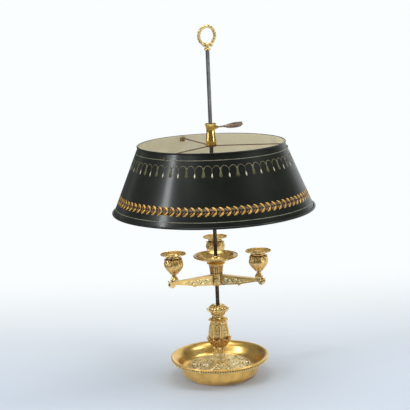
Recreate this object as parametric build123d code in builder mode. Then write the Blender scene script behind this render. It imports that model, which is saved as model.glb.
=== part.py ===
import os
from math import atan2, cos, degrees, radians, sin

from build123d import *

os.makedirs("parts", exist_ok=True)

# Bouillotte lamp: a candle lamp with a sliding arm cluster and a sliding tole shade on a square rod.
# Millimetres. Z is up, the foot rests on Z = 0 and the rod stands on the Z axis.

# Fits
slide_clear = 0.08  # each side, pieces that slide or turn
fit_clear = 0.05  # each side, pieces that are fitted and stay
rest_gap = 0.1  # under a piece that lies loose on its seat

# Square rod, one flat turned towards the screws
rod_side = 5.6
rod_turn = 30.0
rod_top = 632.0
rod_edge = 0.4
spigot_r = 2.5
tenon_r = 1.8
tenon_length = 7.0

# Dish foot
foot_r = 63.5
foot_height = 3.0
wall_r = 77.5
wall_thick = 2.6
lip_r = 95.6
lip_height = 39.0
lip_bead_r = 1.7
floor_under = 13.0
floor_thick = 3.0

# Floor medallion
medallion_r = 60.7
medallion_edge = 5.0
medallion_rise = 8.5
medallion_relief = 1.1
medallion_border = 4.6
medallion_leaves = 6

# Stem, each casting stacked on the one below
lower_stem_height = 29.5
lower_stem_base_r = 13.6
lower_stem_waist_r = 8.2
lower_stem_top_r = 9.6
skirt_leaves = 6
skirt_tip_r = 16.4
skirt_height = 15.0
skirt_thick = 1.4
calyx_floor = 6.5
calyx_height = 19.0
calyx_tip_r = 22.4
calyx_wall = 1.8
calyx_leaves = 12
body_height = 43.0
body_corner_r = 20.8
body_top_r = 16.4
body_turn = -13.0
body_panel_width = 10.4
body_panel_depth = 0.9
body_panel_foot = 8.0
body_panel_margin = 3.6
neck_height = 18.5
shoulder_r = 18.9
shoulder_leaves = 12
neck_waist_r = 11.8
neck_bead_r = 14.2
neck_collar_r = 12.1
petal_floor = 3.6
petal_tip_r = 21.6
petal_tip_height = 8.2
petal_count = 8
knob_height = 12.0
knob_r = 17.2
knob_lobes = 14
knob_top_r = 8.0

# Fixing under the dish
washer_r = 9.0
washer_thick = 1.5
nut_across = 10.0
nut_height = 5.0
spigot_below_nut = 2.0

# Finial
button_r = 6.2
button_height = 4.6
wreath_r = 17.2
wreath_tube_r = 3.5
wreath_lift = 2.0
wreath_leaves = 11
leaf_root_r = 2.3
leaf_overlap = 1.15
knot_r = 4.0
bow_loop_r = 3.0
bow_wire_r = 1.3
bow_lean = 25.0

# Arm cluster
arm_azimuths = (90.0, 210.0, 330.0)
arm_top = 203.0
arm_depth = 20.0
arm_reach = 92.4
arm_kink = 50.4
arm_kink_depth = 15.0
arm_width_root = 8.0
arm_width_tip = 6.0
arm_tip_depth = 6.5
flange_thick = 1.8
flange_over = 1.5
volute_r = 5.6
volute_width = 8.4
volute_past_socket = 5.9
volute_eye_r = 2.1
volute_eye_proud = 0.7
arm_panel_depth = 0.7
arm_panel_margin = 2.4
arm_scrolls = (0.1, 0.27, 0.44, 0.6, 0.75, 0.86)
pad_r = 5.8
pad_height = 2.0
tongue_width = 5.0
tongue_inner_r = 6.5
tongue_height = 13.0
hub_r = 10.9
hub_ring_r = 11.7
hub_ring_height = 4.4
hub_below_arms = 2.2
hub_nose_r = 7.5
arm_pin_r = 1.0
arm_pin_radius = 8.7

# Cup, collar, pan and flower nut on the hub
tube_r = 5.4
tube_seat = 6.0
cup_height = 20.0
cup_foot_r = 11.6
cup_mouth_r = 14.2
cup_wall = 2.2
cup_flutes = 8
cup_flute_r = 3.4
cup_flute_depth = 0.8
collar_height = 8.4
collar_flange_r = 17.6
collar_top_r = 14.7
pan_r = 43.3
pan_inner_r = 34.7
pan_height = 11.0
pan_floor = 2.0
flower_r = 10.8
flower_height = 6.6
flower_petals = 8

# Candle sockets and their loose drip rings
candle_bore_r = 11.0
candle_bore_length = 22.0
ring_tube_wall = 1.3
ring_rim_r = 24.3
ring_rise = 4.4
ring_sheet = 1.4
ring_scallops = 10
socket_height = 47.5
socket_base_r = 7.1
socket_neck_r = 4.2
socket_bulb_r = 18.2
socket_mouth_r = 13.8
socket_well_gap = 3.0
stud_r = 2.0
stud_up = 11.0
stud_down = 5.0

# Screws and the blades that they press on the rod
screw_r = 1.75
blade_thick = 0.9
blade_width = 4.4
blade_height = 12.0
hub_screw_below_arms = 17.5
hub_screw_head_r = 17.0
tab_width = 7.0
tab_height = 11.0
tab_thick = 2.4

# Shade
shade_top_z = 457.2
shade_height = 124.6
shade_top_r = 138.6
shade_bottom_r = 190.3
shade_sheet = 0.8
bottom_wire_r = 1.2
top_wire_r = 0.7

# Spider and sleeve
spoke_azimuths = (-6.0, 114.0, 234.0)
spoke_drop = 3.0
spoke_width = 4.0
spoke_thick = 1.6
spoke_tab_width = 10.0
spoke_tab_height = 8.0
rivet_r = 1.4
rivet_head_r = 2.4
rivet_head_height = 0.9
spider_r = 10.2
spider_thick = 3.0
spider_spigot_height = 5.0
sleeve_height = 40.4
sleeve_foot_r = 9.6
sleeve_r = 8.9
sleeve_mouth_r = 11.6
sleeve_wall = 1.5
mouth_height = 7.0
bush_height = 18.0

# Key
key_below_mouth = 8.0
boss_root_r = 7.2
boss_tip_r = 2.7
boss_reach = 15.5
key_shank_r = 1.5
key_shank_end = 33.0
leaf_end = 72.5
leaf_width = 11.2
leaf_thick = 2.0
ferrule_r = 2.2
ferrule_length = 5.0

# Heights that follow from the stack
spigot_hole_r = spigot_r + fit_clear
floor_top = floor_under + floor_thick
medallion_top = floor_top + medallion_edge + medallion_rise
lower_stem_top = medallion_top + lower_stem_height
body_bottom = lower_stem_top + calyx_floor
body_top = body_bottom + body_height
neck_top = body_top + neck_height
knob_bottom = neck_top + petal_floor
knob_top = knob_bottom + knob_height
hub_bottom = arm_top - arm_depth - hub_below_arms
cup_top = arm_top + cup_height
collar_top = cup_top + collar_height
pan_floor_top = collar_top + pan_floor
socket_bottom = arm_top + pad_height
socket_top = socket_bottom + socket_height
shade_bottom_z = shade_top_z - shade_height
spoke_top = shade_top_z - spoke_drop
spider_top = spoke_top + (spider_thick - spoke_thick) / 2
sleeve_top = spider_top + sleeve_height
key_z = sleeve_top - key_below_mouth
hub_screw_z = arm_top - hub_screw_below_arms

# Where the blades lie against the rod
blade_inner = rod_side / 2 + slide_clear
blade_outer = blade_inner + blade_thick


def upright(azimuth, radius=0.0, height=0.0):
    # Vertical plane through the lamp's axis: local x runs outwards, local y runs up.
    out = Vector(cos(radians(azimuth)), sin(radians(azimuth)), 0)
    side = Vector(sin(radians(azimuth)), -cos(radians(azimuth)), 0)
    return Plane(origin=out * radius + Vector(0, 0, height), x_dir=out, z_dir=side)


def level(height, azimuth=0.0, radius=0.0):
    # Horizontal plane: local x runs outwards at the azimuth, local z runs up.
    out = Vector(cos(radians(azimuth)), sin(radians(azimuth)), 0)
    return Plane(origin=out * radius + Vector(0, 0, height), x_dir=out, z_dir=(0, 0, 1))


def facing(azimuth, radius, height):
    # Plane square to a radius: local x runs sideways, local y up, local z outwards.
    out = Vector(cos(radians(azimuth)), sin(radians(azimuth)), 0)
    side = Vector(-sin(radians(azimuth)), cos(radians(azimuth)), 0)
    return Plane(origin=out * radius + Vector(0, 0, height), x_dir=side, z_dir=out)


def scallop(rim, notch, count):
    # Distance and radius of the circles that cut a round rim into that many pointed leaves.
    half = radians(180 / count)
    distance = (rim**2 - notch**2) / (2 * (rim * cos(half) - notch))
    return distance, distance - notch


# Foot: one turned casting with an everted, beaded lip
flare = lip_r - wall_r
with BuildPart() as base_dish:
    with BuildSketch(Plane.XZ):
        with BuildLine():
            outer = Spline(
                (foot_r + 3, foot_height),
                (wall_r - 2.8, foot_height + 8),
                (wall_r, (foot_height + lip_height) / 2 + 1),
                (wall_r + 0.34 * flare, lip_height - 5.4),
                (lip_r - lip_bead_r, lip_height - lip_bead_r),
            )
            ThreePointArc(outer @ 1, (lip_r, lip_height), (lip_r - lip_bead_r, lip_height + lip_bead_r))
            Spline(
                (lip_r - lip_bead_r, lip_height + lip_bead_r),
                (wall_r + 0.48 * flare, lip_height - 1.4),
                (wall_r + 0.115 * flare, lip_height - 9),
                (wall_r - wall_thick, lip_height - 18),
                (wall_r - 9.5, floor_top),
            )
            Polyline(
                (wall_r - 9.5, floor_top),
                (spigot_hole_r, floor_top),
                (spigot_hole_r, floor_under),
                (wall_r - 9.5, floor_under),
                (wall_r - 8.5, floor_under - 3),
                (foot_r - 2.6, foot_height + 1.4),
                (foot_r - 3.2, 0),
                (foot_r, 0),
                (foot_r, foot_height),
                (foot_r + 3, foot_height),
            )
        make_face()
    revolve(axis=Axis.Z)
base_dish.part.label = "base_dish"
export_step(base_dish.part, "parts/base_dish.step")

# Ground of the medallion: the ring between its leaves and rosettes, which lies lower than they do
relief_inner = lower_stem_base_r + 5.4
relief_outer = medallion_r - medallion_border
relief_width = relief_outer - relief_inner
with BuildPart() as medallion_ground:
    with BuildSketch(Plane.XZ):
        with BuildLine():
            Spline(
                (medallion_r - 3, floor_top + medallion_edge + 1 - medallion_relief),
                (0.55 * medallion_r, floor_top + medallion_edge + 0.5 * medallion_rise - medallion_relief),
                (lower_stem_base_r + 3, medallion_top - medallion_relief),
            )
            Polyline(
                (lower_stem_base_r + 3, medallion_top - medallion_relief),
                (lower_stem_base_r + 3, medallion_top + 1),
                (medallion_r - 3, medallion_top + 1),
                (medallion_r - 3, floor_top + medallion_edge + 1 - medallion_relief),
            )
        make_face()
    revolve(axis=Axis.Z)
    with BuildSketch(Plane.XY.offset(floor_top)):
        Circle(relief_outer)
        Circle(relief_inner, mode=Mode.SUBTRACT)
        leaf_step = 360 / medallion_leaves
        leaf_lobes = [(0.22, 0.12, 0.13), (0.48, 0.15, 0.14), (0.72, 0.09, 0.12), (0.88, 0, 0.1)]
        for share, spread, lobe in leaf_lobes:
            for side in (-1, 1):
                with PolarLocations(
                    relief_inner + share * relief_width,
                    medallion_leaves,
                    start_angle=side * spread * leaf_step,
                ):
                    Circle(lobe * relief_width, mode=Mode.SUBTRACT)
        with PolarLocations(relief_inner + 0.45 * relief_width, medallion_leaves):
            Rectangle(0.95 * relief_width, 0.16 * relief_width, mode=Mode.SUBTRACT)
        with PolarLocations(relief_outer - 0.2 * relief_width, medallion_leaves, start_angle=leaf_step / 2):
            Circle(0.13 * relief_width, mode=Mode.SUBTRACT)
    extrude(amount=medallion_top + 1 - floor_top, mode=Mode.INTERSECT)

# Medallion: a low dome with raised leaves, which covers the floor and carries the stem
with BuildPart() as floor_medallion:
    with BuildSketch(Plane.XZ):
        with BuildLine():
            Polyline(
                (lower_stem_base_r + 3, medallion_top),
                (spigot_hole_r, medallion_top),
                (spigot_hole_r, floor_top),
                (medallion_r, floor_top),
                (medallion_r, floor_top + medallion_edge - 2),
            )
            ThreePointArc(
                (medallion_r, floor_top + medallion_edge - 2),
                (medallion_r - 0.9, floor_top + medallion_edge + 0.2),
                (medallion_r - 3, floor_top + medallion_edge + 1),
            )
            Spline(
                (medallion_r - 3, floor_top + medallion_edge + 1),
                (0.55 * medallion_r, floor_top + medallion_edge + 0.5 * medallion_rise),
                (lower_stem_base_r + 3, medallion_top),
            )
        make_face()
    revolve(axis=Axis.Z)
    add(medallion_ground.part, mode=Mode.SUBTRACT)
floor_medallion.part.label = "floor_medallion"
export_step(floor_medallion.part, "parts/floor_medallion.step")

# Skirt of leaves that clasp the foot of the lower stem
with BuildPart() as leaf_skirt:
    with BuildSketch(Plane.XZ):
        with BuildLine():
            Spline(
                (lower_stem_waist_r, medallion_top + skirt_height),
                (lower_stem_waist_r + 2.6, medallion_top + 0.86 * skirt_height),
                (lower_stem_base_r - 1.4, medallion_top + 0.5 * skirt_height),
                (skirt_tip_r - 1.4, medallion_top + 2.8 + skirt_thick),
                (skirt_tip_r, medallion_top + 3.2 + skirt_thick),
            )
            Line(
                (skirt_tip_r, medallion_top + 3.2 + skirt_thick),
                (skirt_tip_r + 0.4, medallion_top + 3.4),
            )
            Spline(
                (skirt_tip_r + 0.4, medallion_top + 3.4),
                (skirt_tip_r - 1, medallion_top + 2.4),
                (lower_stem_base_r - 1, medallion_top + 2.2),
            )
            Polyline(
                (lower_stem_base_r - 1, medallion_top + 2.2),
                (lower_stem_waist_r - 2, medallion_top + 2.2),
                (lower_stem_waist_r - 2, medallion_top + skirt_height),
                (lower_stem_waist_r, medallion_top + skirt_height),
            )
        make_face()
    revolve(axis=Axis.Z)
    notch_distance, notch_radius = scallop(skirt_tip_r + 0.4, lower_stem_base_r - 2.4, skirt_leaves)
    with BuildSketch(Plane.XY.offset(medallion_top)):
        with PolarLocations(notch_distance, skirt_leaves, start_angle=180 / skirt_leaves):
            Circle(notch_radius)
    extrude(amount=skirt_height + 1, mode=Mode.SUBTRACT)

# Lower stem: a waisted shaft on a base ring, with its skirt of leaves
with BuildPart() as lower_stem:
    with BuildSketch(Plane.XZ):
        with BuildLine():
            Polyline(
                (lower_stem_base_r - 1.6, medallion_top + 5),
                (lower_stem_base_r - 0.8, medallion_top + 4),
            )
            ThreePointArc(
                (lower_stem_base_r - 0.8, medallion_top + 4),
                (lower_stem_base_r, medallion_top + 2),
                (lower_stem_base_r - 0.8, medallion_top),
            )
            Polyline(
                (lower_stem_base_r - 0.8, medallion_top),
                (spigot_hole_r, medallion_top),
                (spigot_hole_r, lower_stem_top),
                (lower_stem_top_r, lower_stem_top),
            )
            Spline(
                (lower_stem_top_r, lower_stem_top),
                (lower_stem_waist_r, lower_stem_top - 6.5),
                (lower_stem_waist_r + 1, medallion_top + 0.5 * lower_stem_height),
                (lower_stem_base_r - 1.6, medallion_top + 5),
            )
        make_face()
    revolve(axis=Axis.Z)
    add(leaf_skirt.part)
    with BuildSketch(Plane.XY.offset(medallion_top)):
        Circle(spigot_hole_r)
    extrude(amount=lower_stem_height, mode=Mode.SUBTRACT)
lower_stem.part.label = "lower_stem"
export_step(lower_stem.part, "parts/lower_stem.step")

# Calyx: a thin leaf cup with a pointed rim
calyx_top = lower_stem_top + calyx_height
calyx_seat_r = 0.55 * calyx_tip_r
with BuildPart() as calyx:
    with BuildSketch(Plane.XZ):
        with BuildLine():
            Spline(
                (lower_stem_top_r, lower_stem_top),
                (0.66 * calyx_tip_r, lower_stem_top + 0.22 * calyx_height),
                (0.88 * calyx_tip_r, lower_stem_top + 0.6 * calyx_height),
                (calyx_tip_r, calyx_top),
            )
            Line((calyx_tip_r, calyx_top), (calyx_tip_r - calyx_wall / 2, calyx_top + 0.4))
            Spline(
                (calyx_tip_r - calyx_wall / 2, calyx_top + 0.4),
                (0.88 * calyx_tip_r - calyx_wall, lower_stem_top + 0.62 * calyx_height),
                (calyx_seat_r + 0.4, body_bottom),
            )
            Polyline(
                (calyx_seat_r + 0.4, body_bottom),
                (spigot_hole_r, body_bottom),
                (spigot_hole_r, lower_stem_top),
                (lower_stem_top_r, lower_stem_top),
            )
        make_face()
    revolve(axis=Axis.Z)
    notch_distance, notch_radius = scallop(calyx_tip_r, calyx_tip_r - 3.2, calyx_leaves)
    with BuildSketch(Plane.XY.offset(calyx_top - 5)):
        with PolarLocations(notch_distance, calyx_leaves):
            Circle(notch_radius)
    extrude(amount=6, mode=Mode.SUBTRACT)
calyx.part.label = "calyx"
export_step(calyx.part, "parts/calyx.step")

# Baluster body: a six-sided swelling shaft, lofted through its sections, with an arched panel in each face
body_sections = [
    (0, 0.98 * calyx_seat_r),
    (0.34, body_corner_r),
    (0.7, 0.9 * body_corner_r),
    (1, body_top_r),
]
panel_side = body_height - body_panel_foot - body_panel_margin - body_panel_width / 2
with BuildPart() as panel_floor:
    for share, radius in body_sections:
        with BuildSketch(Plane.XY.offset(body_bottom + share * body_height)):
            RegularPolygon(radius - body_panel_depth / cos(radians(30)), 6, rotation=body_turn)
    loft()
with BuildPart() as body_panels:
    for face in range(6):
        with BuildSketch(facing(body_turn + 30 + 60 * face, 0, body_bottom + body_panel_foot)):
            Rectangle(body_panel_width, panel_side, align=(Align.CENTER, Align.MIN))
            with Locations((0, panel_side)):
                Circle(body_panel_width / 2)
        extrude(amount=body_corner_r)
    add(panel_floor.part, mode=Mode.SUBTRACT)
with BuildPart() as baluster:
    for share, radius in body_sections:
        with BuildSketch(Plane.XY.offset(body_bottom + share * body_height)):
            RegularPolygon(radius, 6, rotation=body_turn)
            fillet(vertices(), 0.12 * radius)
    loft()
    add(body_panels.part, mode=Mode.SUBTRACT)
    with BuildSketch(Plane.XY.offset(body_bottom)):
        Circle(spigot_hole_r)
    extrude(amount=body_height, mode=Mode.SUBTRACT)
baluster.part.label = "baluster"
export_step(baluster.part, "parts/baluster.step")

# Neck: leaf-pointed shoulder, six-sided waist, bead and collar
shoulder_z = body_top + 4.2
bead_z = body_top + 13.6
neck_sections = [
    (body_top + 1, body_top_r),
    (shoulder_z + 3.2, neck_waist_r + 2),
    (bead_z - 3.4, neck_waist_r),
    (bead_z - 0.6, neck_waist_r + 0.9),
]
with BuildPart() as neck:
    with BuildSketch(Plane.XZ):
        with BuildLine():
            Polyline(
                (neck_waist_r - 2, shoulder_z + 0.4),
                (spigot_hole_r, shoulder_z + 0.4),
                (spigot_hole_r, body_top),
                (body_top_r - 1.5, body_top),
            )
            Spline(
                (body_top_r - 1.5, body_top),
                (shoulder_r - 2.2, body_top + 2),
                (shoulder_r, shoulder_z),
            )
            Spline(
                (shoulder_r, shoulder_z),
                (shoulder_r - 3.6, shoulder_z + 0.2),
                (neck_waist_r - 2, shoulder_z + 0.4),
            )
        make_face()
    revolve(axis=Axis.Z)
    notch_distance, notch_radius = scallop(shoulder_r, shoulder_r - 2.4, shoulder_leaves)
    with BuildSketch(Plane.XY.offset(body_top + 1.5)):
        with PolarLocations(notch_distance, shoulder_leaves):
            Circle(notch_radius)
    extrude(amount=shoulder_z - body_top, mode=Mode.SUBTRACT)
    for height, radius in neck_sections:
        with BuildSketch(Plane.XY.offset(height)):
            RegularPolygon(radius, 6, rotation=body_turn)
            fillet(vertices(), 0.1 * radius)
    loft()
    with BuildSketch(Plane.XZ):
        with BuildLine():
            Polyline(
                (neck_collar_r, bead_z + 2),
                (neck_collar_r, neck_top),
                (spigot_hole_r, neck_top),
                (spigot_hole_r, bead_z - 2),
                (neck_waist_r + 0.6, bead_z - 2),
            )
            ThreePointArc((neck_waist_r + 0.6, bead_z - 2), (neck_bead_r, bead_z), (neck_collar_r, bead_z + 2))
        make_face()
    revolve(axis=Axis.Z)
    with BuildSketch(Plane.XY.offset(body_top)):
        Circle(spigot_hole_r)
    extrude(amount=neck_height, mode=Mode.SUBTRACT)
neck.part.label = "neck"
export_step(neck.part, "parts/neck.step")

# Petal cup: eight petals that flick up round the knob
with BuildPart() as petal_cup:
    with BuildSketch(Plane.XZ):
        with BuildLine():
            Polyline(
                (knob_r - 4.2, knob_bottom),
                (spigot_hole_r, knob_bottom),
                (spigot_hole_r, neck_top),
                (neck_collar_r + 0.4, neck_top),
            )
            Spline(
                (neck_collar_r + 0.4, neck_top),
                (0.78 * petal_tip_r, neck_top + 0.28 * petal_tip_height),
                (petal_tip_r, neck_top + petal_tip_height),
            )
            Line(
                (petal_tip_r, neck_top + petal_tip_height),
                (petal_tip_r - 1, neck_top + petal_tip_height + 0.2),
            )
            Spline(
                (petal_tip_r - 1, neck_top + petal_tip_height + 0.2),
                (0.8 * petal_tip_r, neck_top + 0.55 * petal_tip_height),
                (knob_r - 4.2, knob_bottom),
            )
        make_face()
    revolve(axis=Axis.Z)
    notch_distance, notch_radius = scallop(petal_tip_r, petal_tip_r - 4.2, petal_count)
    with BuildSketch(Plane.XY.offset(neck_top)):
        with PolarLocations(notch_distance, petal_count, start_angle=180 / petal_count):
            Circle(notch_radius)
    extrude(amount=petal_tip_height + 1, mode=Mode.SUBTRACT)
petal_cup.part.label = "petal_cup"
export_step(petal_cup.part, "parts/petal_cup.step")

# Gadrooned knob: a turned bun cut by a lobed outline
with BuildPart() as gadroon_knob:
    with BuildSketch(Plane.XZ):
        with BuildLine():
            Spline(
                (knob_r - 4.6, knob_bottom + rest_gap),
                (knob_r, knob_bottom + 0.46 * knob_height),
                (0.8 * knob_r, knob_bottom + 0.86 * knob_height),
                (knob_top_r, knob_top),
            )
            Polyline(
                (knob_top_r, knob_top),
                (spigot_hole_r, knob_top),
                (spigot_hole_r, knob_bottom),
                (knob_r - 4.6, knob_bottom),
                (knob_r - 4.6, knob_bottom + rest_gap),
            )
        make_face()
    revolve(axis=Axis.Z)
    lobe_r = 0.2 * knob_r
    with BuildSketch(Plane.XY.offset(knob_bottom)):
        Circle(knob_r - lobe_r)
        with PolarLocations(knob_r - lobe_r, knob_lobes):
            Circle(lobe_r)
    extrude(amount=knob_height, mode=Mode.INTERSECT)
gadroon_knob.part.label = "gadroon_knob"
export_step(gadroon_knob.part, "parts/gadroon_knob.step")

# Rod: square bar with a round spigot through the stem and a tenon for the finial
spigot_end = floor_under - washer_thick - nut_height - spigot_below_nut
with BuildPart() as rod:
    with BuildSketch(Plane.XY.offset(knob_top)):
        Rectangle(rod_side, rod_side, rotation=rod_turn)
    extrude(amount=rod_top - knob_top)
    chamfer(edges().filter_by(Axis.Z), rod_edge)
    with BuildSketch(Plane.XY.offset(spigot_end)):
        Circle(spigot_r)
    extrude(amount=knob_top - spigot_end)
    with BuildSketch(Plane.XY.offset(rod_top)):
        Circle(tenon_r)
    extrude(amount=tenon_length)
rod.part.label = "rod"
export_step(rod.part, "parts/rod.step")

with BuildPart() as rod_washer:
    with BuildSketch(Plane.XY.offset(floor_under - washer_thick)):
        Circle(washer_r)
        Circle(spigot_hole_r, mode=Mode.SUBTRACT)
    extrude(amount=washer_thick)
rod_washer.part.label = "rod_washer"
export_step(rod_washer.part, "parts/rod_washer.step")

with BuildPart() as rod_nut:
    with BuildSketch(Plane.XY.offset(floor_under - washer_thick - nut_height)):
        RegularPolygon(nut_across / 2, 6, major_radius=False)
        Circle(spigot_hole_r, mode=Mode.SUBTRACT)
    extrude(amount=nut_height)
rod_nut.part.label = "rod_nut"
export_step(rod_nut.part, "parts/rod_nut.step")

# Finial: a turned button, and the wreath with its bow standing on it
button_top = rod_top + button_height
wreath_z = button_top + wreath_lift + wreath_tube_r + wreath_r
with BuildPart() as finial_button:
    with BuildSketch(Plane.XZ):
        with BuildLine():
            Polyline(
                (tenon_r + fit_clear, rod_top),
                (0.72 * button_r, rod_top),
                (button_r, rod_top + 0.3 * button_height),
            )
            ThreePointArc(
                (button_r, rod_top + 0.3 * button_height),
                (0.94 * button_r, rod_top + 0.62 * button_height),
                (0.6 * button_r, button_top),
            )
            Polyline(
                (0.6 * button_r, button_top),
                (tenon_r + fit_clear, button_top),
                (tenon_r + fit_clear, rod_top),
            )
        make_face()
    revolve(axis=Axis.Z)
finial_button.part.label = "finial_button"
export_step(finial_button.part, "parts/finial_button.step")

wreath_face = upright(rod_turn, 0, wreath_z)


def on_wreath(angle):
    turned = Vector(wreath_r * cos(radians(angle)), wreath_r * sin(radians(angle)), 0)
    return wreath_face.from_local_coords(turned)


with BuildPart() as finial_wreath:
    # Two branches of overlapping leaf bundles rise from the knot and meet in a berry at the top
    knot_angle = degrees(knot_r / wreath_r) - 1
    leaf_pitch = (180 - knot_angle) / (wreath_leaves + 0.2)
    for side in (1, -1):
        for leaf in range(wreath_leaves):
            start = -90 + side * (knot_angle + leaf * leaf_pitch)
            root = on_wreath(start)
            tip = on_wreath(start + side * leaf_overlap * leaf_pitch)
            with Locations(Plane(origin=root, z_dir=tip - root).location):
                Cone(
                    leaf_root_r,
                    wreath_tube_r,
                    (tip - root).length,
                    align=(Align.CENTER, Align.CENTER, Align.MIN),
                )
    with Locations(on_wreath(90)):
        Sphere(leaf_root_r + 0.3)
    with Locations(on_wreath(-90)):
        Sphere(knot_r)
    with BuildSketch(Plane.XY.offset(button_top)):
        Circle(0.5 * button_r)
    extrude(amount=wreath_lift + wreath_tube_r)
    bow_z = button_top + bow_loop_r + bow_wire_r + 0.3
    for side in (-1, 1):
        with Locations(upright(rod_turn + side * bow_lean, side * (bow_loop_r + 1.6), bow_z).location):
            Torus(bow_loop_r, bow_wire_r)
    with BuildSketch(Plane.XY.offset(button_top)):
        Circle(tenon_r + fit_clear)
    extrude(amount=tenon_length - button_height + fit_clear, mode=Mode.SUBTRACT)
finial_wreath.part.label = "finial_wreath"
export_step(finial_wreath.part, "parts/finial_wreath.step")

# Hub of the arm cluster: a turned knob, broached square for the rod and slotted for the arms
square_hole = rod_side + 2 * slide_clear
tongue_bottom = arm_top - arm_depth + 1.5
with BuildPart() as arm_hub:
    with BuildSketch(Plane.XZ):
        with BuildLine():
            Polyline(
                (0, hub_bottom),
                (hub_nose_r, hub_bottom),
                (hub_nose_r + 0.7, hub_bottom + 1.4),
            )
            Spline(
                (hub_nose_r + 0.7, hub_bottom + 1.4),
                (hub_r - 0.4, hub_bottom + 5),
                (hub_r, hub_bottom + 10),
                (hub_r - 1, arm_top - hub_ring_height),
            )
            Polyline(
                (hub_r - 1, arm_top - hub_ring_height),
                (hub_ring_r, arm_top - hub_ring_height),
                (hub_ring_r, arm_top),
                (0, arm_top),
                (0, hub_bottom),
            )
        make_face()
    revolve(axis=Axis.Z)
    with BuildSketch(Plane.XY.offset(hub_bottom)):
        Rectangle(square_hole, square_hole, rotation=rod_turn)
    extrude(amount=arm_top - hub_bottom, mode=Mode.SUBTRACT)
    with BuildSketch(Plane.XY.offset(arm_top - tube_seat)):
        Circle(tube_r + fit_clear)
    extrude(amount=tube_seat, mode=Mode.SUBTRACT)
    for azimuth in arm_azimuths:
        with BuildSketch(level(tongue_bottom - fit_clear, azimuth, tongue_inner_r - fit_clear)):
            Rectangle(2 * hub_ring_r, tongue_width + 2 * fit_clear, align=(Align.MIN, Align.CENTER))
        extrude(amount=tongue_height + 2 * fit_clear, mode=Mode.SUBTRACT)
        with BuildSketch(level(hub_bottom, azimuth, arm_pin_radius)):
            Circle(arm_pin_r + fit_clear)
        extrude(amount=tongue_bottom - hub_bottom, mode=Mode.SUBTRACT)
    with BuildSketch(facing(rod_turn, 0, hub_screw_z)):
        Rectangle(blade_width + 2 * fit_clear, blade_height + 2 * fit_clear)
    extrude(amount=blade_outer + fit_clear, mode=Mode.SUBTRACT)
    with BuildSketch(facing(rod_turn, 0, hub_screw_z)):
        Circle(screw_r + slide_clear)
    extrude(amount=2 * hub_r, mode=Mode.SUBTRACT)
arm_hub.part.label = "arm_hub"
export_step(arm_hub.part, "parts/arm_hub.step")

# Arms: tapering brackets with a top flange, a tongue in the hub and a scrolled end
arm_root = hub_ring_r + fit_clear
arm_bottom = arm_top - arm_depth
kink_bottom = arm_top - arm_kink_depth
volute_u = arm_reach + volute_past_socket
panel_top = arm_top - flange_thick - arm_panel_margin
panel_root = arm_root + arm_panel_margin
panel_tip = arm_reach - pad_r - 4 * arm_panel_margin
panel_run = panel_tip - panel_root
panel_tip_height = 1.2
panel_root_height = panel_top - arm_bottom - arm_panel_margin
panel_kink_height = panel_top - kink_bottom - arm_panel_margin


def panel_height(reach):
    # Height of the side panel, which narrows to the kink and faster from there to its tip.
    if reach < arm_kink:
        share = (reach - panel_root) / (arm_kink - panel_root)
        return panel_root_height + share * (panel_kink_height - panel_root_height)
    share = (reach - arm_kink) / (panel_tip - arm_kink)
    return panel_kink_height + share * (panel_tip_height - panel_kink_height)


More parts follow.
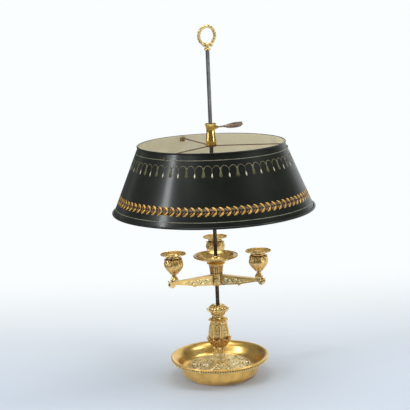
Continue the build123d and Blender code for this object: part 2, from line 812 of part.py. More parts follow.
for number, azimuth in enumerate(arm_azimuths, start=1):
    # Ground of the side panels, lower than the rim and the row of scrolls that shrink towards the tip
    with BuildPart() as arm_ground:
        with BuildSketch(upright(azimuth)):
            Polygon(
                (panel_root, arm_bottom + arm_panel_margin),
                (arm_kink, kink_bottom + arm_panel_margin),
                (panel_tip, panel_top - panel_tip_height),
                (panel_tip, panel_top),
                (panel_root, panel_top),
                align=None,
            )
            for share in arm_scrolls:
                middle = panel_root + share * panel_run
                room = panel_height(middle)
                with Locations((middle, panel_top - room / 2)):
                    Circle(0.36 * room, mode=Mode.SUBTRACT)
                    Circle(0.2 * room)
                    Circle(0.1 * room, mode=Mode.SUBTRACT)
        extrude(amount=arm_width_root, both=True)
        with BuildSketch(level(hub_bottom - 5, azimuth)):
            Polygon(
                (arm_root, arm_panel_depth - arm_width_root / 2),
                (volute_u, arm_panel_depth - arm_width_tip / 2),
                (volute_u, arm_width_tip / 2 - arm_panel_depth),
                (arm_root, arm_width_root / 2 - arm_panel_depth),
                align=None,
            )
        extrude(amount=arm_top - hub_bottom + 5, mode=Mode.SUBTRACT)
    with BuildPart() as arm:
        with BuildSketch(upright(azimuth)):
            with BuildLine():
                Polyline(
                    (arm_kink + 3.2, kink_bottom + 1),
                    (arm_reach - 5, arm_top - arm_tip_depth),
                    (volute_u, arm_top - arm_tip_depth),
                    (volute_u, arm_top),
                    (arm_root, arm_top),
                    (arm_root, arm_bottom),
                    (arm_kink - 3.4, kink_bottom - 0.4),
                )
                ThreePointArc(
                    (arm_kink - 3.4, kink_bottom - 0.4),
                    (arm_kink, kink_bottom - 2.2),
                    (arm_kink + 3.2, kink_bottom + 1),
                )
            make_face()
        extrude(amount=arm_width_root, both=True)
        with BuildSketch(level(hub_bottom - 5, azimuth)):
            Polygon(
                (arm_root, -arm_width_root / 2),
                (volute_u, -arm_width_tip / 2),
                (volute_u, arm_width_tip / 2),
                (arm_root, arm_width_root / 2),
                align=None,
            )
        extrude(amount=arm_top - hub_bottom + 5, mode=Mode.INTERSECT)
        add(arm_ground.part, mode=Mode.SUBTRACT)
        with BuildSketch(level(arm_top - flange_thick, azimuth)):
            Polygon(
                (arm_root, -arm_width_root / 2 - flange_over),
                (volute_u, -arm_width_tip / 2 - flange_over / 2),
                (volute_u, arm_width_tip / 2 + flange_over / 2),
                (arm_root, arm_width_root / 2 + flange_over),
                align=None,
            )
        extrude(amount=flange_thick)
        with BuildSketch(upright(azimuth)):
            with Locations((volute_u, arm_top - volute_r)):
                Circle(volute_r)
            with BuildLine():
                Spline(
                    (volute_u - 1, arm_top - 0.4),
                    (volute_u + 3, arm_top - 0.2),
                    (volute_u + volute_r + 0.6, arm_top + 1.6),
                )
                Spline(
                    (volute_u + volute_r + 0.6, arm_top + 1.6),
                    (volute_u + 4.4, arm_top - 2.4),
                    (volute_u + 2, arm_top - 4),
                )
                Line((volute_u + 2, arm_top - 4), (volute_u - 1, arm_top - 0.4))
            make_face()
        extrude(amount=volute_width / 2, both=True)
        with BuildSketch(upright(azimuth)):
            with Locations((volute_u, arm_top - volute_r)):
                Circle(volute_eye_r)
        extrude(amount=volute_width / 2 + volute_eye_proud, both=True)
        with BuildSketch(level(arm_top, azimuth, arm_reach)):
            Circle(pad_r)
        extrude(amount=pad_height)
        with BuildSketch(level(tongue_bottom, azimuth, tongue_inner_r)):
            Rectangle(arm_root - tongue_inner_r, tongue_width, align=(Align.MIN, Align.CENTER))
        extrude(amount=tongue_height)
        with BuildSketch(level(tongue_bottom, azimuth, arm_pin_radius)):
            Circle(arm_pin_r + fit_clear)
        extrude(amount=tongue_height, mode=Mode.SUBTRACT)
        with BuildSketch(level(socket_bottom - pad_height - stud_down, azimuth, arm_reach)):
            Circle(stud_r + fit_clear)
        extrude(amount=pad_height + stud_down, mode=Mode.SUBTRACT)
    arm.part.label = f"arm_{number}"
    export_step(arm.part, f"parts/arm_{number}.step")

with BuildPart() as arm_pins:
    for azimuth in arm_azimuths:
        with BuildSketch(level(hub_bottom + 1, azimuth, arm_pin_radius)):
            Circle(arm_pin_r)
        extrude(amount=tongue_bottom + tongue_height - hub_bottom - 1)
arm_pins.part.label = "arm_pins"
export_step(arm_pins.part, "parts/arm_pins.step")

# Clamping tube, and what it holds on the hub
tube_top = pan_floor_top + flower_height - 1.5
with BuildPart() as hub_tube:
    with BuildSketch(Plane.XY.offset(arm_top - tube_seat)):
        Circle(tube_r)
        Rectangle(square_hole, square_hole, rotation=rod_turn, mode=Mode.SUBTRACT)
    extrude(amount=tube_top - arm_top + tube_seat)
hub_tube.part.label = "hub_tube"
export_step(hub_tube.part, "parts/hub_tube.step")

tube_hole_r = tube_r + fit_clear
cup_side = Vector(cup_mouth_r - cup_foot_r, cup_height, 0)
cup_lean = degrees(atan2(cup_side.X, cup_side.Y))
with BuildPart() as hub_cup:
    with BuildSketch(Plane.XZ):
        Polygon(
            (tube_hole_r, arm_top),
            (cup_foot_r, arm_top),
            (cup_mouth_r, cup_top),
            (cup_mouth_r - cup_wall, cup_top),
            (cup_foot_r - cup_wall, arm_top + 2.4),
            (tube_hole_r, arm_top + 2.4),
            align=None,
        )
    revolve(axis=Axis.Z)
    for flute in range(cup_flutes):
        foot = level(arm_top, 360 / cup_flutes * flute, cup_foot_r + cup_flute_r - cup_flute_depth)
        with Locations(foot * Location((0, 0, 0), (0, cup_lean, 0))):
            Cylinder(cup_flute_r, 3 * cup_height, mode=Mode.SUBTRACT)
hub_cup.part.label = "hub_cup"
export_step(hub_cup.part, "parts/hub_cup.step")

with BuildPart() as hub_collar:
    with BuildSketch(Plane.XZ):
        with BuildLine():
            Polyline(
                (collar_top_r, collar_top),
                (tube_hole_r, collar_top),
                (tube_hole_r, cup_top),
                (cup_mouth_r + 0.4, cup_top),
                (collar_flange_r, cup_top + 1.8),
            )
            ThreePointArc(
                (collar_flange_r, cup_top + 1.8),
                (collar_flange_r + 0.4, cup_top + 2.8),
                (collar_flange_r - 0.4, cup_top + 3.8),
            )
            Polyline((collar_flange_r - 0.4, cup_top + 3.8), (collar_top_r + 0.4, cup_top + 4.6))
            Spline(
                (collar_top_r + 0.4, cup_top + 4.6),
                (collar_top_r - 1.2, cup_top + 0.75 * collar_height),
                (collar_top_r, collar_top),
            )
        make_face()
    revolve(axis=Axis.Z)
hub_collar.part.label = "hub_collar"
export_step(hub_collar.part, "parts/hub_collar.step")

pan_rim_z = collar_top + pan_height - 2.6
with BuildPart() as centre_pan:
    with BuildSketch(Plane.XZ):
        with BuildLine():
            Spline(
                (collar_top_r + 0.6, collar_top),
                (0.7 * pan_r, collar_top + 2.2),
                (pan_r - 1.6, pan_rim_z - 1.8),
            )
            ThreePointArc(
                (pan_r - 1.6, pan_rim_z - 1.8),
                (pan_r, pan_rim_z),
                (pan_r - 1.8, pan_rim_z + 1.6),
            )
            Spline(
                (pan_r - 1.8, pan_rim_z + 1.6),
                ((pan_r + pan_inner_r) / 2, pan_rim_z + 0.6),
                (pan_inner_r + 1.6, pan_rim_z + 1.6),
            )
            ThreePointArc(
                (pan_inner_r + 1.6, pan_rim_z + 1.6),
                (pan_inner_r + 0.2, collar_top + pan_height),
                (pan_inner_r - 1.2, pan_rim_z + 1.2),
            )
            Spline(
                (pan_inner_r - 1.2, pan_rim_z + 1.2),
                (0.75 * pan_inner_r, pan_floor_top + 1.8),
                (flower_r + 2, pan_floor_top),
            )
            Polyline(
                (flower_r + 2, pan_floor_top),
                (tube_hole_r, pan_floor_top),
                (tube_hole_r, collar_top),
                (collar_top_r + 0.6, collar_top),
            )
        make_face()
    revolve(axis=Axis.Z)
centre_pan.part.label = "centre_pan"
export_step(centre_pan.part, "parts/centre_pan.step")

with BuildPart() as flower_nut:
    with BuildSketch(Plane.XZ):
        with BuildLine():
            Spline(
                (flower_r - 1, pan_floor_top),
                (flower_r, pan_floor_top + 1.8),
                (flower_r - 2.4, pan_floor_top + 3.2),
                (tube_hole_r + 1.2, pan_floor_top + flower_height),
            )
            Polyline(
                (tube_hole_r + 1.2, pan_floor_top + flower_height),
                (tube_hole_r, pan_floor_top + flower_height),
                (tube_hole_r, pan_floor_top),
                (flower_r - 1, pan_floor_top),
            )
        make_face()
    revolve(axis=Axis.Z)
    notch_distance, notch_radius = scallop(flower_r + 0.4, flower_r - 1.6, flower_petals)
    with BuildSketch(Plane.XY.offset(pan_floor_top)):
        with PolarLocations(notch_distance, flower_petals):
            Circle(notch_radius)
    extrude(amount=flower_height, mode=Mode.SUBTRACT)
flower_nut.part.label = "flower_nut"
export_step(flower_nut.part, "parts/flower_nut.step")

# Candle sockets: bulb on a waisted foot, bored for the drip ring's tube
ring_tube_r = candle_bore_r + ring_tube_wall
socket_bore_r = ring_tube_r + slide_clear
ring_seat = socket_top + rest_gap
ring_tube_bottom = ring_seat + 1.5 - candle_bore_length
socket_well = ring_tube_bottom - socket_well_gap
for number, azimuth in enumerate(arm_azimuths, start=1):
    centre = level(0, azimuth, arm_reach).origin
    socket_axis = Axis(tuple(centre), (0, 0, 1))
    with BuildPart() as socket:
        with BuildSketch(upright(azimuth, arm_reach)):
            with BuildLine():
                Polyline(
                    (socket_mouth_r, socket_top),
                    (socket_bore_r, socket_top),
                    (socket_bore_r, socket_well),
                    (0, socket_well),
                    (0, socket_bottom),
                    (socket_base_r - 0.4, socket_bottom),
                )
                Spline(
                    (socket_base_r - 0.4, socket_bottom),
                    (socket_base_r, socket_bottom + 2.6),
                    (socket_neck_r + 0.4, socket_bottom + 7),
                    (socket_neck_r, socket_bottom + 13),
                    (0.55 * socket_bulb_r, socket_bottom + 0.42 * socket_height),
                    (socket_bulb_r, socket_bottom + 0.68 * socket_height),
                    (0.86 * socket_bulb_r, socket_bottom + 0.87 * socket_height),
                    (socket_mouth_r, socket_top),
                )
            make_face()
        revolve(axis=socket_axis)
        with BuildSketch(level(socket_bottom, azimuth, arm_reach)):
            Circle(stud_r + fit_clear)
        extrude(amount=stud_up, mode=Mode.SUBTRACT)
    socket.part.label = f"socket_{number}"
    export_step(socket.part, f"parts/socket_{number}.step")

    with BuildPart() as bobeche:
        with BuildSketch(upright(azimuth, arm_reach)):
            with BuildLine():
                Polyline(
                    (candle_bore_r, ring_seat + 1.5),
                    (candle_bore_r, ring_tube_bottom),
                    (ring_tube_r, ring_tube_bottom),
                    (ring_tube_r, ring_seat),
                    (socket_mouth_r, ring_seat),
                )
                Spline(
                    (socket_mouth_r, ring_seat),
                    (0.5 * (socket_mouth_r + ring_rim_r), ring_seat + 0.42 * ring_rise),
                    (ring_rim_r, ring_seat + ring_rise - 0.8),
                )
                ThreePointArc(
                    (ring_rim_r, ring_seat + ring_rise - 0.8),
                    (ring_rim_r + 0.2, ring_seat + ring_rise - 0.1),
                    (ring_rim_r - 0.6, ring_seat + ring_rise),
                )
                Spline(
                    (ring_rim_r - 0.6, ring_seat + ring_rise),
                    (0.5 * (socket_mouth_r + ring_rim_r) - 0.5, ring_seat + 0.42 * ring_rise + ring_sheet),
                    (candle_bore_r, ring_seat + 1.5),
                )
            make_face()
        revolve(axis=socket_axis)
        notch_distance, notch_radius = scallop(ring_rim_r + 0.4, ring_rim_r - 2.2, ring_scallops)
        with BuildSketch(level(ring_seat + 0.3, azimuth, arm_reach)):
            with PolarLocations(notch_distance, ring_scallops):
                Circle(notch_radius)
        extrude(amount=ring_rise, mode=Mode.SUBTRACT)
    bobeche.part.label = f"bobeche_{number}"
    export_step(bobeche.part, f"parts/bobeche_{number}.step")

with BuildPart() as socket_studs:
    for azimuth in arm_azimuths:
        with BuildSketch(level(socket_bottom - pad_height - stud_down, azimuth, arm_reach)):
            Circle(stud_r)
        extrude(amount=pad_height + stud_down + stud_up - fit_clear)
socket_studs.part.label = "socket_studs"
export_step(socket_studs.part, "parts/socket_studs.step")

# Friction blade and thumb screw of the hub
with BuildPart() as hub_blade:
    with BuildSketch(facing(rod_turn, blade_inner, hub_screw_z)):
        Rectangle(blade_width, blade_height)
    extrude(amount=blade_thick)
hub_blade.part.label = "hub_blade"
export_step(hub_blade.part, "parts/hub_blade.step")

with BuildPart() as set_screw:
    with BuildSketch(facing(rod_turn, blade_outer + slide_clear, hub_screw_z)):
        Circle(screw_r)
    extrude(amount=hub_screw_head_r - tab_thick - blade_outer - slide_clear)
    with BuildSketch(facing(rod_turn, hub_screw_head_r - tab_thick, hub_screw_z)):
        with Locations((0, -tab_height / 2 + tab_width / 2)):
            SlotOverall(tab_height, tab_width, rotation=90)
    extrude(amount=tab_thick)
set_screw.part.label = "set_screw"
export_step(set_screw.part, "parts/set_screw.step")

# Shade: a sheet cone with both edges rolled over a wire
slope = atan2(shade_bottom_r - shade_top_r, shade_height)
down = Vector(sin(slope), -cos(slope), 0)
across = Vector(cos(slope), sin(slope), 0)
bottom_roll = bottom_wire_r + fit_clear + shade_sheet / 2
top_roll = top_wire_r + fit_clear + shade_sheet / 2
with BuildPart() as shade_cone:
    with BuildSketch(Plane.XZ):
        with BuildLine():
            wall = Line((shade_top_r, shade_top_z), (shade_bottom_r, shade_bottom_z))
            JernArc(wall @ 1, wall % 1, bottom_roll, 285)
            JernArc(wall @ 0, (wall % 0) * -1, top_roll, -285)
        trace(line_width=shade_sheet)
    revolve(axis=Axis.Z)
    for azimuth in spoke_azimuths:
        with BuildSketch(facing(azimuth, 0, spoke_top - spoke_thick - 0.5 * spoke_tab_height)):
            Circle(rivet_r + fit_clear)
        extrude(amount=2 * shade_top_r, mode=Mode.SUBTRACT)
shade_cone.part.label = "shade_cone"
export_step(shade_cone.part, "parts/shade_cone.step")

bottom_wire_centre = Vector(shade_bottom_r, shade_bottom_z, 0) + across * bottom_roll
with BuildPart() as bottom_wire:
    with BuildSketch(Plane.XZ):
        with Locations((bottom_wire_centre.X, bottom_wire_centre.Y)):
            Circle(bottom_wire_r)
    revolve(axis=Axis.Z)
bottom_wire.part.label = "bottom_wire"
export_step(bottom_wire.part, "parts/bottom_wire.step")

top_wire_centre = Vector(shade_top_r, shade_top_z, 0) + across * top_roll
with BuildPart() as top_wire:
    with BuildSketch(Plane.XZ):
        with Locations((top_wire_centre.X, top_wire_centre.Y)):
            Circle(top_wire_r)
    revolve(axis=Axis.Z)
top_wire.part.label = "top_wire"
export_step(top_wire.part, "parts/top_wire.step")

# Spider: a flanged hub with three flat spokes, bent down and riveted inside the shade
with BuildPart() as spider_hub:
    with BuildSketch(Plane.XY.offset(spider_top - spider_thick)):
        Circle(spider_r)
    extrude(amount=spider_thick)
    with BuildSketch(Plane.XY.offset(spider_top)):
        Circle(sleeve_foot_r - sleeve_wall - fit_clear)
    extrude(amount=spider_spigot_height)
    with BuildSketch(Plane.XY.offset(spider_top - spider_thick)):
        Rectangle(square_hole, square_hole, rotation=rod_turn)
    extrude(amount=spider_thick + spider_spigot_height, mode=Mode.SUBTRACT)
    for azimuth in spoke_azimuths:
        with BuildSketch(level(spoke_top - spoke_thick - fit_clear, azimuth, 0.6 * spider_r)):
            Rectangle(spider_r, spoke_width + 2 * fit_clear, align=(Align.MIN, Align.CENTER))
        extrude(amount=spoke_thick + 2 * fit_clear, mode=Mode.SUBTRACT)
spider_hub.part.label = "spider_hub"
export_step(spider_hub.part, "parts/spider_hub.step")


def cone_inside(height):
    # Radius of the shade's inner face at a height, less the fitting gap.
    along = (shade_top_z - height) / cos(slope)
    middle = shade_top_r + along * sin(slope)
    return middle - (shade_sheet / 2 + fit_clear) / cos(slope)


spoke_bottom = spoke_top - spoke_thick
tab_bottom = spoke_top - spoke_tab_height
tab_half_angle = degrees(spoke_tab_width / 2 / cone_inside(spoke_top))
for number, azimuth in enumerate(spoke_azimuths, start=1):
    with BuildPart() as spoke:
        with BuildSketch(level(spoke_bottom, azimuth, 0.6 * spider_r + fit_clear)):
            Rectangle(
                cone_inside(spoke_top) - spoke_thick / 2 - 0.6 * spider_r - fit_clear,
                spoke_width,
                align=(Align.MIN, Align.CENTER),
            )
        extrude(amount=spoke_thick)
        with BuildSketch(upright(azimuth - tab_half_angle)):
            Polygon(
                (cone_inside(spoke_top), spoke_top),
                (cone_inside(spoke_top) - spoke_thick, spoke_top),
                (cone_inside(tab_bottom) - spoke_thick, tab_bottom),
                (cone_inside(tab_bottom), tab_bottom),
                align=None,
            )
        revolve(axis=Axis.Z, revolution_arc=2 * tab_half_angle)
        with BuildSketch(facing(azimuth, 0, spoke_bottom - 0.5 * spoke_tab_height)):
            Circle(rivet_r + fit_clear)
        extrude(amount=2 * shade_top_r, mode=Mode.SUBTRACT)
    spoke.part.label = f"spoke_{number}"
    export_step(spoke.part, f"parts/spoke_{number}.step")

rivet_z = spoke_bottom - 0.5 * spoke_tab_height
rivet_inner = cone_inside(rivet_z) - spoke_thick - 1.2
rivet_outer = cone_inside(rivet_z) + shade_sheet / cos(slope) + 2 * fit_clear + rivet_head_r * sin(slope)
with BuildPart() as spoke_rivets:
    for azimuth in spoke_azimuths:
        with BuildSketch(facing(azimuth, rivet_inner, rivet_z)):
            Circle(rivet_r)
        extrude(amount=rivet_outer - rivet_inner)
        with BuildSketch(facing(azimuth, rivet_outer, rivet_z)):
            Circle(rivet_head_r)
        extrude(amount=rivet_head_height)
spoke_rivets.part.label = "spoke_rivets"
export_step(spoke_rivets.part, "parts/spoke_rivets.step")

# Sleeve: a turned tube with a flared mouth, drilled for the key
sleeve_outline = [
    (sleeve_foot_r, spider_top),
    (sleeve_r + 0.1, spider_top + 0.4 * sleeve_height),
    (sleeve_r, sleeve_top - mouth_height),
    (sleeve_mouth_r, sleeve_top),
]
with BuildPart() as carrier_sleeve:
    with BuildSketch(Plane.XZ):
        with BuildLine():
            Spline(*sleeve_outline)
            Polyline((sleeve_mouth_r, sleeve_top), (sleeve_mouth_r - 1, sleeve_top))
            Spline(
                (sleeve_mouth_r - 1, sleeve_top),
                (sleeve_r - 0.9, sleeve_top - 0.6 * mouth_height),
                (sleeve_r - sleeve_wall, sleeve_top - mouth_height),
            )
            Polyline(
                (sleeve_r - sleeve_wall, sleeve_top - mouth_height),
                (sleeve_r - sleeve_wall, spider_top + spider_spigot_height + 1),
                (sleeve_foot_r - sleeve_wall, spider_top + spider_spigot_height),
                (sleeve_foot_r - sleeve_wall, spider_top),
                (sleeve_foot_r, spider_top),
            )
        make_face()
    revolve(axis=Axis.Z)
    with BuildSketch(facing(rod_turn, 0, key_z)):
        Circle(screw_r + slide_clear)
    extrude(amount=2 * sleeve_r, mode=Mode.SUBTRACT)
carrier_sleeve.part.label = "carrier_sleeve"
export_step(carrier_sleeve.part, "parts/carrier_sleeve.step")

# Guide bush in the sleeve: square hole for the rod, pocket for the shoe
bush_r = sleeve_r - sleeve_wall - fit_clear
bush_top = sleeve_top - mouth_height
with BuildPart() as guide_bush:
    with BuildSketch(Plane.XY.offset(bush_top - bush_height)):
        Circle(bush_r)
        Rectangle(square_hole, square_hole, rotation=rod_turn, mode=Mode.SUBTRACT)
    extrude(amount=bush_height)
    with BuildSketch(facing(rod_turn, 0, key_z - blade_height / 2 + screw_r)):
        Rectangle(blade_width + 2 * fit_clear, blade_height + 2 * fit_clear)
    extrude(amount=blade_outer + fit_clear, mode=Mode.SUBTRACT)
    with BuildSketch(facing(rod_turn, 0, key_z)):
        Circle(screw_r + slide_clear)
    extrude(amount=2 * sleeve_r, mode=Mode.SUBTRACT)
guide_bush.part.label = "guide_bush"
export_step(guide_bush.part, "parts/guide_bush.step")

with BuildPart() as pressure_shoe:
    with BuildSketch(facing(rod_turn, blade_inner, key_z - blade_height / 2 + screw_r)):
        Rectangle(blade_width, blade_height)
    extrude(amount=blade_thick)
pressure_shoe.part.label = "pressure_shoe"
export_step(pressure_shoe.part, "parts/pressure_shoe.step")

# Boss: a cone saddled on the sleeve, threaded for the key
with BuildPart() as key_boss:
    with BuildSketch(upright(rod_turn, 0, key_z)):
        Polygon(
            (0, 0),
            (boss_reach, 0),
            (boss_reach, boss_tip_r),
            (boss_reach - 1.5, boss_tip_r + 0.3),
            (0, boss_root_r),
            align=None,
        )
    revolve(axis=Axis((0, 0, key_z), tuple(upright(rod_turn).x_dir)))
    with BuildSketch(Plane.XZ):
        with BuildLine():
            Spline(*[(radius + fit_clear, height) for radius, height in sleeve_outline])
            Polyline(
                (sleeve_mouth_r + fit_clear, sleeve_top),
                (0, sleeve_top),
                (0, spider_top),
                (sleeve_foot_r + fit_clear, spider_top),
            )
        make_face()
    revolve(axis=Axis.Z, mode=Mode.SUBTRACT)
    with BuildSketch(facing(rod_turn, 0, key_z)):
        Circle(screw_r + slide_clear)
    extrude(amount=2 * boss_reach, mode=Mode.SUBTRACT)
key_boss.part.label = "key_boss"
export_step(key_boss.part, "parts/key_boss.step")

# Key: a screw with a feather-shaped handle
with BuildPart() as key_screw:
    with BuildSketch(facing(rod_turn, blade_outer + slide_clear, key_z)):
        Circle(screw_r)
    extrude(amount=boss_reach + 1 - blade_outer - slide_clear)
    with BuildSketch(facing(rod_turn, boss_reach + 1, key_z)):
        Circle(key_shank_r)
    extrude(amount=key_shank_end - boss_reach - 1)
key_screw.part.label = "key_screw"
export_step(key_screw.part, "parts/key_screw.step")

leaf_start = key_shank_end - ferrule_length + 1
with BuildPart() as key_leaf:
    with BuildSketch(upright(rod_turn, 0, key_z)):
        with BuildLine():
            Spline(
                (leaf_start + ferrule_length - 1, 1),
                (leaf_start + 12, 0.38 * leaf_width),
                (leaf_start + 22, 0.5 * leaf_width),
                (leaf_end - 2.5, 0.46 * leaf_width),
            )
            Polyline(
                (leaf_end - 2.5, 0.46 * leaf_width),
                (leaf_end - 3.5, 0.1 * leaf_width),
                (leaf_end, -0.24 * leaf_width),
            )
            Spline(
                (leaf_end, -0.24 * leaf_width),
                (leaf_start + 26, -0.44 * leaf_width),
                (leaf_start + 13, -0.46 * leaf_width),
                (leaf_start + ferrule_length - 1, -1),
            )
            Line((leaf_start + ferrule_length - 1, -1), (leaf_start + ferrule_length - 1, 1))
        make_face()
    extrude(amount=leaf_thick / 2, both=True)
    with BuildSketch(facing(rod_turn, leaf_start, key_z)):
        Circle(ferrule_r)
    extrude(amount=ferrule_length + 1)
    with BuildSketch(facing(rod_turn, leaf_start, key_z)):
        Circle(key_shank_r + fit_clear)
    extrude(amount=key_shank_end + fit_clear - leaf_start, mode=Mode.SUBTRACT)
key_leaf.part.label = "key_leaf"
export_step(key_leaf.part, "parts/key_leaf.step")
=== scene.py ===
import math

import bmesh
import bpy
import numpy as np
from mathutils import Matrix, Vector


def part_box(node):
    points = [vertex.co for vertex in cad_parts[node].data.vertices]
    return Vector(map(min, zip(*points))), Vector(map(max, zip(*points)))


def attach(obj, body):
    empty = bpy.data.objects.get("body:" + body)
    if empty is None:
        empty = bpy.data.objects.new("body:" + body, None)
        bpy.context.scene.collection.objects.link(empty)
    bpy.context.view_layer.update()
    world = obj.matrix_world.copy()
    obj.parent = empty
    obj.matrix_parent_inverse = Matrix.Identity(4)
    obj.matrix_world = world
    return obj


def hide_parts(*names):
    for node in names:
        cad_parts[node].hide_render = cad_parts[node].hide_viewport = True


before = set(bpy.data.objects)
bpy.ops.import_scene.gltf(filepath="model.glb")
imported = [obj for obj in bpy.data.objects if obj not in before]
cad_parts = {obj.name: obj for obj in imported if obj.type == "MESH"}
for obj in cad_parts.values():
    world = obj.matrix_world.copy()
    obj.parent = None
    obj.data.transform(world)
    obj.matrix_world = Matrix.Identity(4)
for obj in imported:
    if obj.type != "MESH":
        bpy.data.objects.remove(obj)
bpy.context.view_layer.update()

print("frame loaded,", len(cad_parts), "nodes")
mm = 0.001
turn = 2 * math.pi


def hue(red, green, blue, dim=1.0):
    # a colour as a painter reads it, 0 to 255, turned into the shader's linear numbers
    return tuple((c * dim / 255) ** 2.2 for c in (red, green, blue)) + (1.0,)


def addObject(name, data):
    made = bpy.data.objects.new(name, data)
    bpy.context.scene.collection.objects.link(made)
    return made


def gridFaces(rows, cols, closeRows=True, closeCols=True):
    r, c = np.meshgrid(np.arange(rows - (not closeRows)), np.arange(cols - (not closeCols)), indexing="ij")
    up, over = (r + 1) % rows, (c + 1) % cols
    return np.stack((r * cols + c, r * cols + over, up * cols + over, up * cols + c), -1).reshape(-1, 4)


# shader arithmetic: an expression on output sockets adds its Math nodes
def operator(operation, flipped=False):
    def apply(self, other):
        pair = (other, self) if flipped else (self, other)
        return self.graph.maths(operation, *pair)
    return apply


class Wire:
    # an output socket that can be used in plain arithmetic
    def __init__(self, graph, socket):
        self.graph, self.socket = graph, socket

    __add__, __radd__ = operator("ADD"), operator("ADD", flipped=True)
    __sub__, __rsub__ = operator("SUBTRACT"), operator("SUBTRACT", flipped=True)
    __mul__, __rmul__ = operator("MULTIPLY"), operator("MULTIPLY", flipped=True)
    __pow__, __gt__ = operator("POWER"), operator("GREATER_THAN")


class Graph:
    # a node tree, and the one method that adds any node to it
    def __init__(self, tree):
        self.tree = tree

    def node(self, kind, settings=None, sockets=None, out=0):
        made = self.tree.nodes.new(kind)
        for key, value in (settings or {}).items():
            setattr(made, key, value)
        for key, value in (sockets or {}).items():
            self.feed(made.inputs[key], value)
        return Wire(self, made.outputs[out])

    def feed(self, socket, value):
        if isinstance(value, Wire):
            self.tree.links.new(value.socket, socket)
        else:
            socket.default_value = value

    def maths(self, operation, first, second):
        return self.node("ShaderNodeMath", {"operation": operation}, {0: first, 1: second})

    def larger(self, first, second):
        return self.maths("MAXIMUM", first, second)

    def axes(self, vector):
        split = self.node("ShaderNodeSeparateXYZ", sockets={0: vector}).socket.node
        return [Wire(self, socket) for socket in split.outputs]

    def rays(self, *kinds):
        return [self.node("ShaderNodeLightPath", out=f"Is {kind} Ray") for kind in kinds]

    def fade(self, value, low, high, start=0.0, end=1.0):
        return self.node("ShaderNodeMapRange", {"interpolation_type": "SMOOTHSTEP"},
                         {0: value, 1: low, 2: high, 3: start, 4: end})

    def blend(self, mask, first, second):
        return self.node("ShaderNodeMix", sockets={0: mask, 2: first, 3: second})

    def mix(self, mask, first, second):
        return self.node("ShaderNodeMix", {"data_type": "RGBA"}, {0: mask, 6: first, 7: second}, out=2)


class Paint(Graph):
    # a material and its shader
    def __init__(self, name, **constants):
        self.material = bpy.data.materials.new(name)
        self.material.use_nodes = True
        super().__init__(self.material.node_tree)
        self.shader = self.tree.nodes["Principled BSDF"]
        self.use(**constants)

    def use(self, **feeds):
        for words, value in feeds.items():
            self.feed(self.shader.inputs[words.replace("_", " ")], value)
        return self.material

    def place(self):
        return self.node("ShaderNodeTexCoord", out="Object")

    def noise(self, scale, detail=3.0, rough=0.55, stretch=None):
        where = self.place()
        if stretch:
            where = self.node("ShaderNodeVectorMath", {"operation": "MULTIPLY"}, {0: where, 1: stretch})
        return self.node("ShaderNodeTexNoise",
                         sockets={"Vector": where, "Scale": scale, "Detail": detail, "Roughness": rough})

    def bump(self, height, strength, distance):
        return self.node("ShaderNodeBump",
                         sockets={"Height": height, "Strength": strength, "Distance": distance})


# the camera at its viewing angle, in metres and degrees
cameraFit = {"distance": 2.157, "height": 0.749, "pitch": 10.75, "roll": -2.42, "pan": -0.44,
             "focal": 1150 / 410}


def makeCamera(fit):
    pitch, roll, pan = (math.radians(fit[k]) for k in ("pitch", "roll", "pan"))
    data = bpy.data.cameras.new("viewCamera")
    data.sensor_width = 36
    data.lens = fit["focal"] * data.sensor_width
    data.clip_start, data.clip_end = 0.05, 50
    camera = addObject("viewCamera", data)
    camera.matrix_world = (
        Matrix.Translation((0, -fit["distance"], fit["height"])) @ Matrix.Rotation(-pan, 4, "Z")
        @ Matrix.Rotation(math.pi / 2 - pitch, 4, "X") @ Matrix.Rotation(roll, 4, "Z"))
    bpy.context.scene.camera = camera


makeCamera(cameraFit)
bpy.context.scene.view_settings.view_transform = "Standard"
print("camera placed")


# the plain studio round the lamp
room = {"light": 0.5, "seen": hue(250, 254, 255), "aheadFrom": (0.45, 0.95), "glow": (0.2, 0.9)}
paper = {
    "near": hue(222, 227, 238), "seen": hue(190, 196, 206), "far": hue(248, 253, 255), "roomGlow": 0.16,
    "reach": 3.6, "bendStart": 2.6, "rise": 2.6, "drop": 0.0004, "rows": 48, "cols": 24,
    # where the paper turns white, in metres from the lamp, and where the gilding mirrors a painted dark room
    "haze": (-0.15, 0.85), "white": (-0.05, 0.6), "whiteAround": (0.55, 1.5), "whiteRight": (0.05, 0.35),
    "leftDarkMirror": (-0.62, -0.25), "frontDarkMirror": (-0.8, -0.42), "frontSlant": 0.6,
}
lamps = {
    "target": (0, 0, 0.3),
    "tint": (0.96, 1.0, 1.02),
    "panels": [
        # name, aim azimuth from the front (left is negative), elevation, distance, width, height, watts
        ("leftStrip", -61, 27, 1.7, 0.22, 0.62, 7),
        ("leftPanel", -36, 45, 2.1, 0.4, 0.5, 5),
        ("rightPanel", 76, 45, 2.1, 0.6, 0.5, 12),
        ("leftLow", -76, 8, 2.3, 0.8, 0.6, 5),
        ("rightLow", 62, 2, 2.2, 0.9, 0.5, 7),
        ("overhead", 0, 84, 1.9, 1.7, 1.3, 24),
    ],
}


def makeWorld(look):
    world = bpy.data.worlds.new("studioWorld")
    bpy.context.scene.world = world
    world.use_nodes = True
    air = Graph(world.node_tree)
    camera, through, mirrored = air.rays("Camera", "Transmission", "Glossy")
    ahead = air.axes(air.node("ShaderNodeTexCoord", out="Generated"))[1]
    # the room behind the camera is darker than the white set, which gives the gilding its depth
    glow = air.blend(mirrored, look["light"], air.fade(ahead, *look["aheadFrom"], *look["glow"]))
    background = world.node_tree.nodes["Background"]
    air.feed(background.inputs["Color"], look["seen"])
    air.feed(background.inputs["Strength"], air.blend(air.larger(camera, through), glow, 1.0))


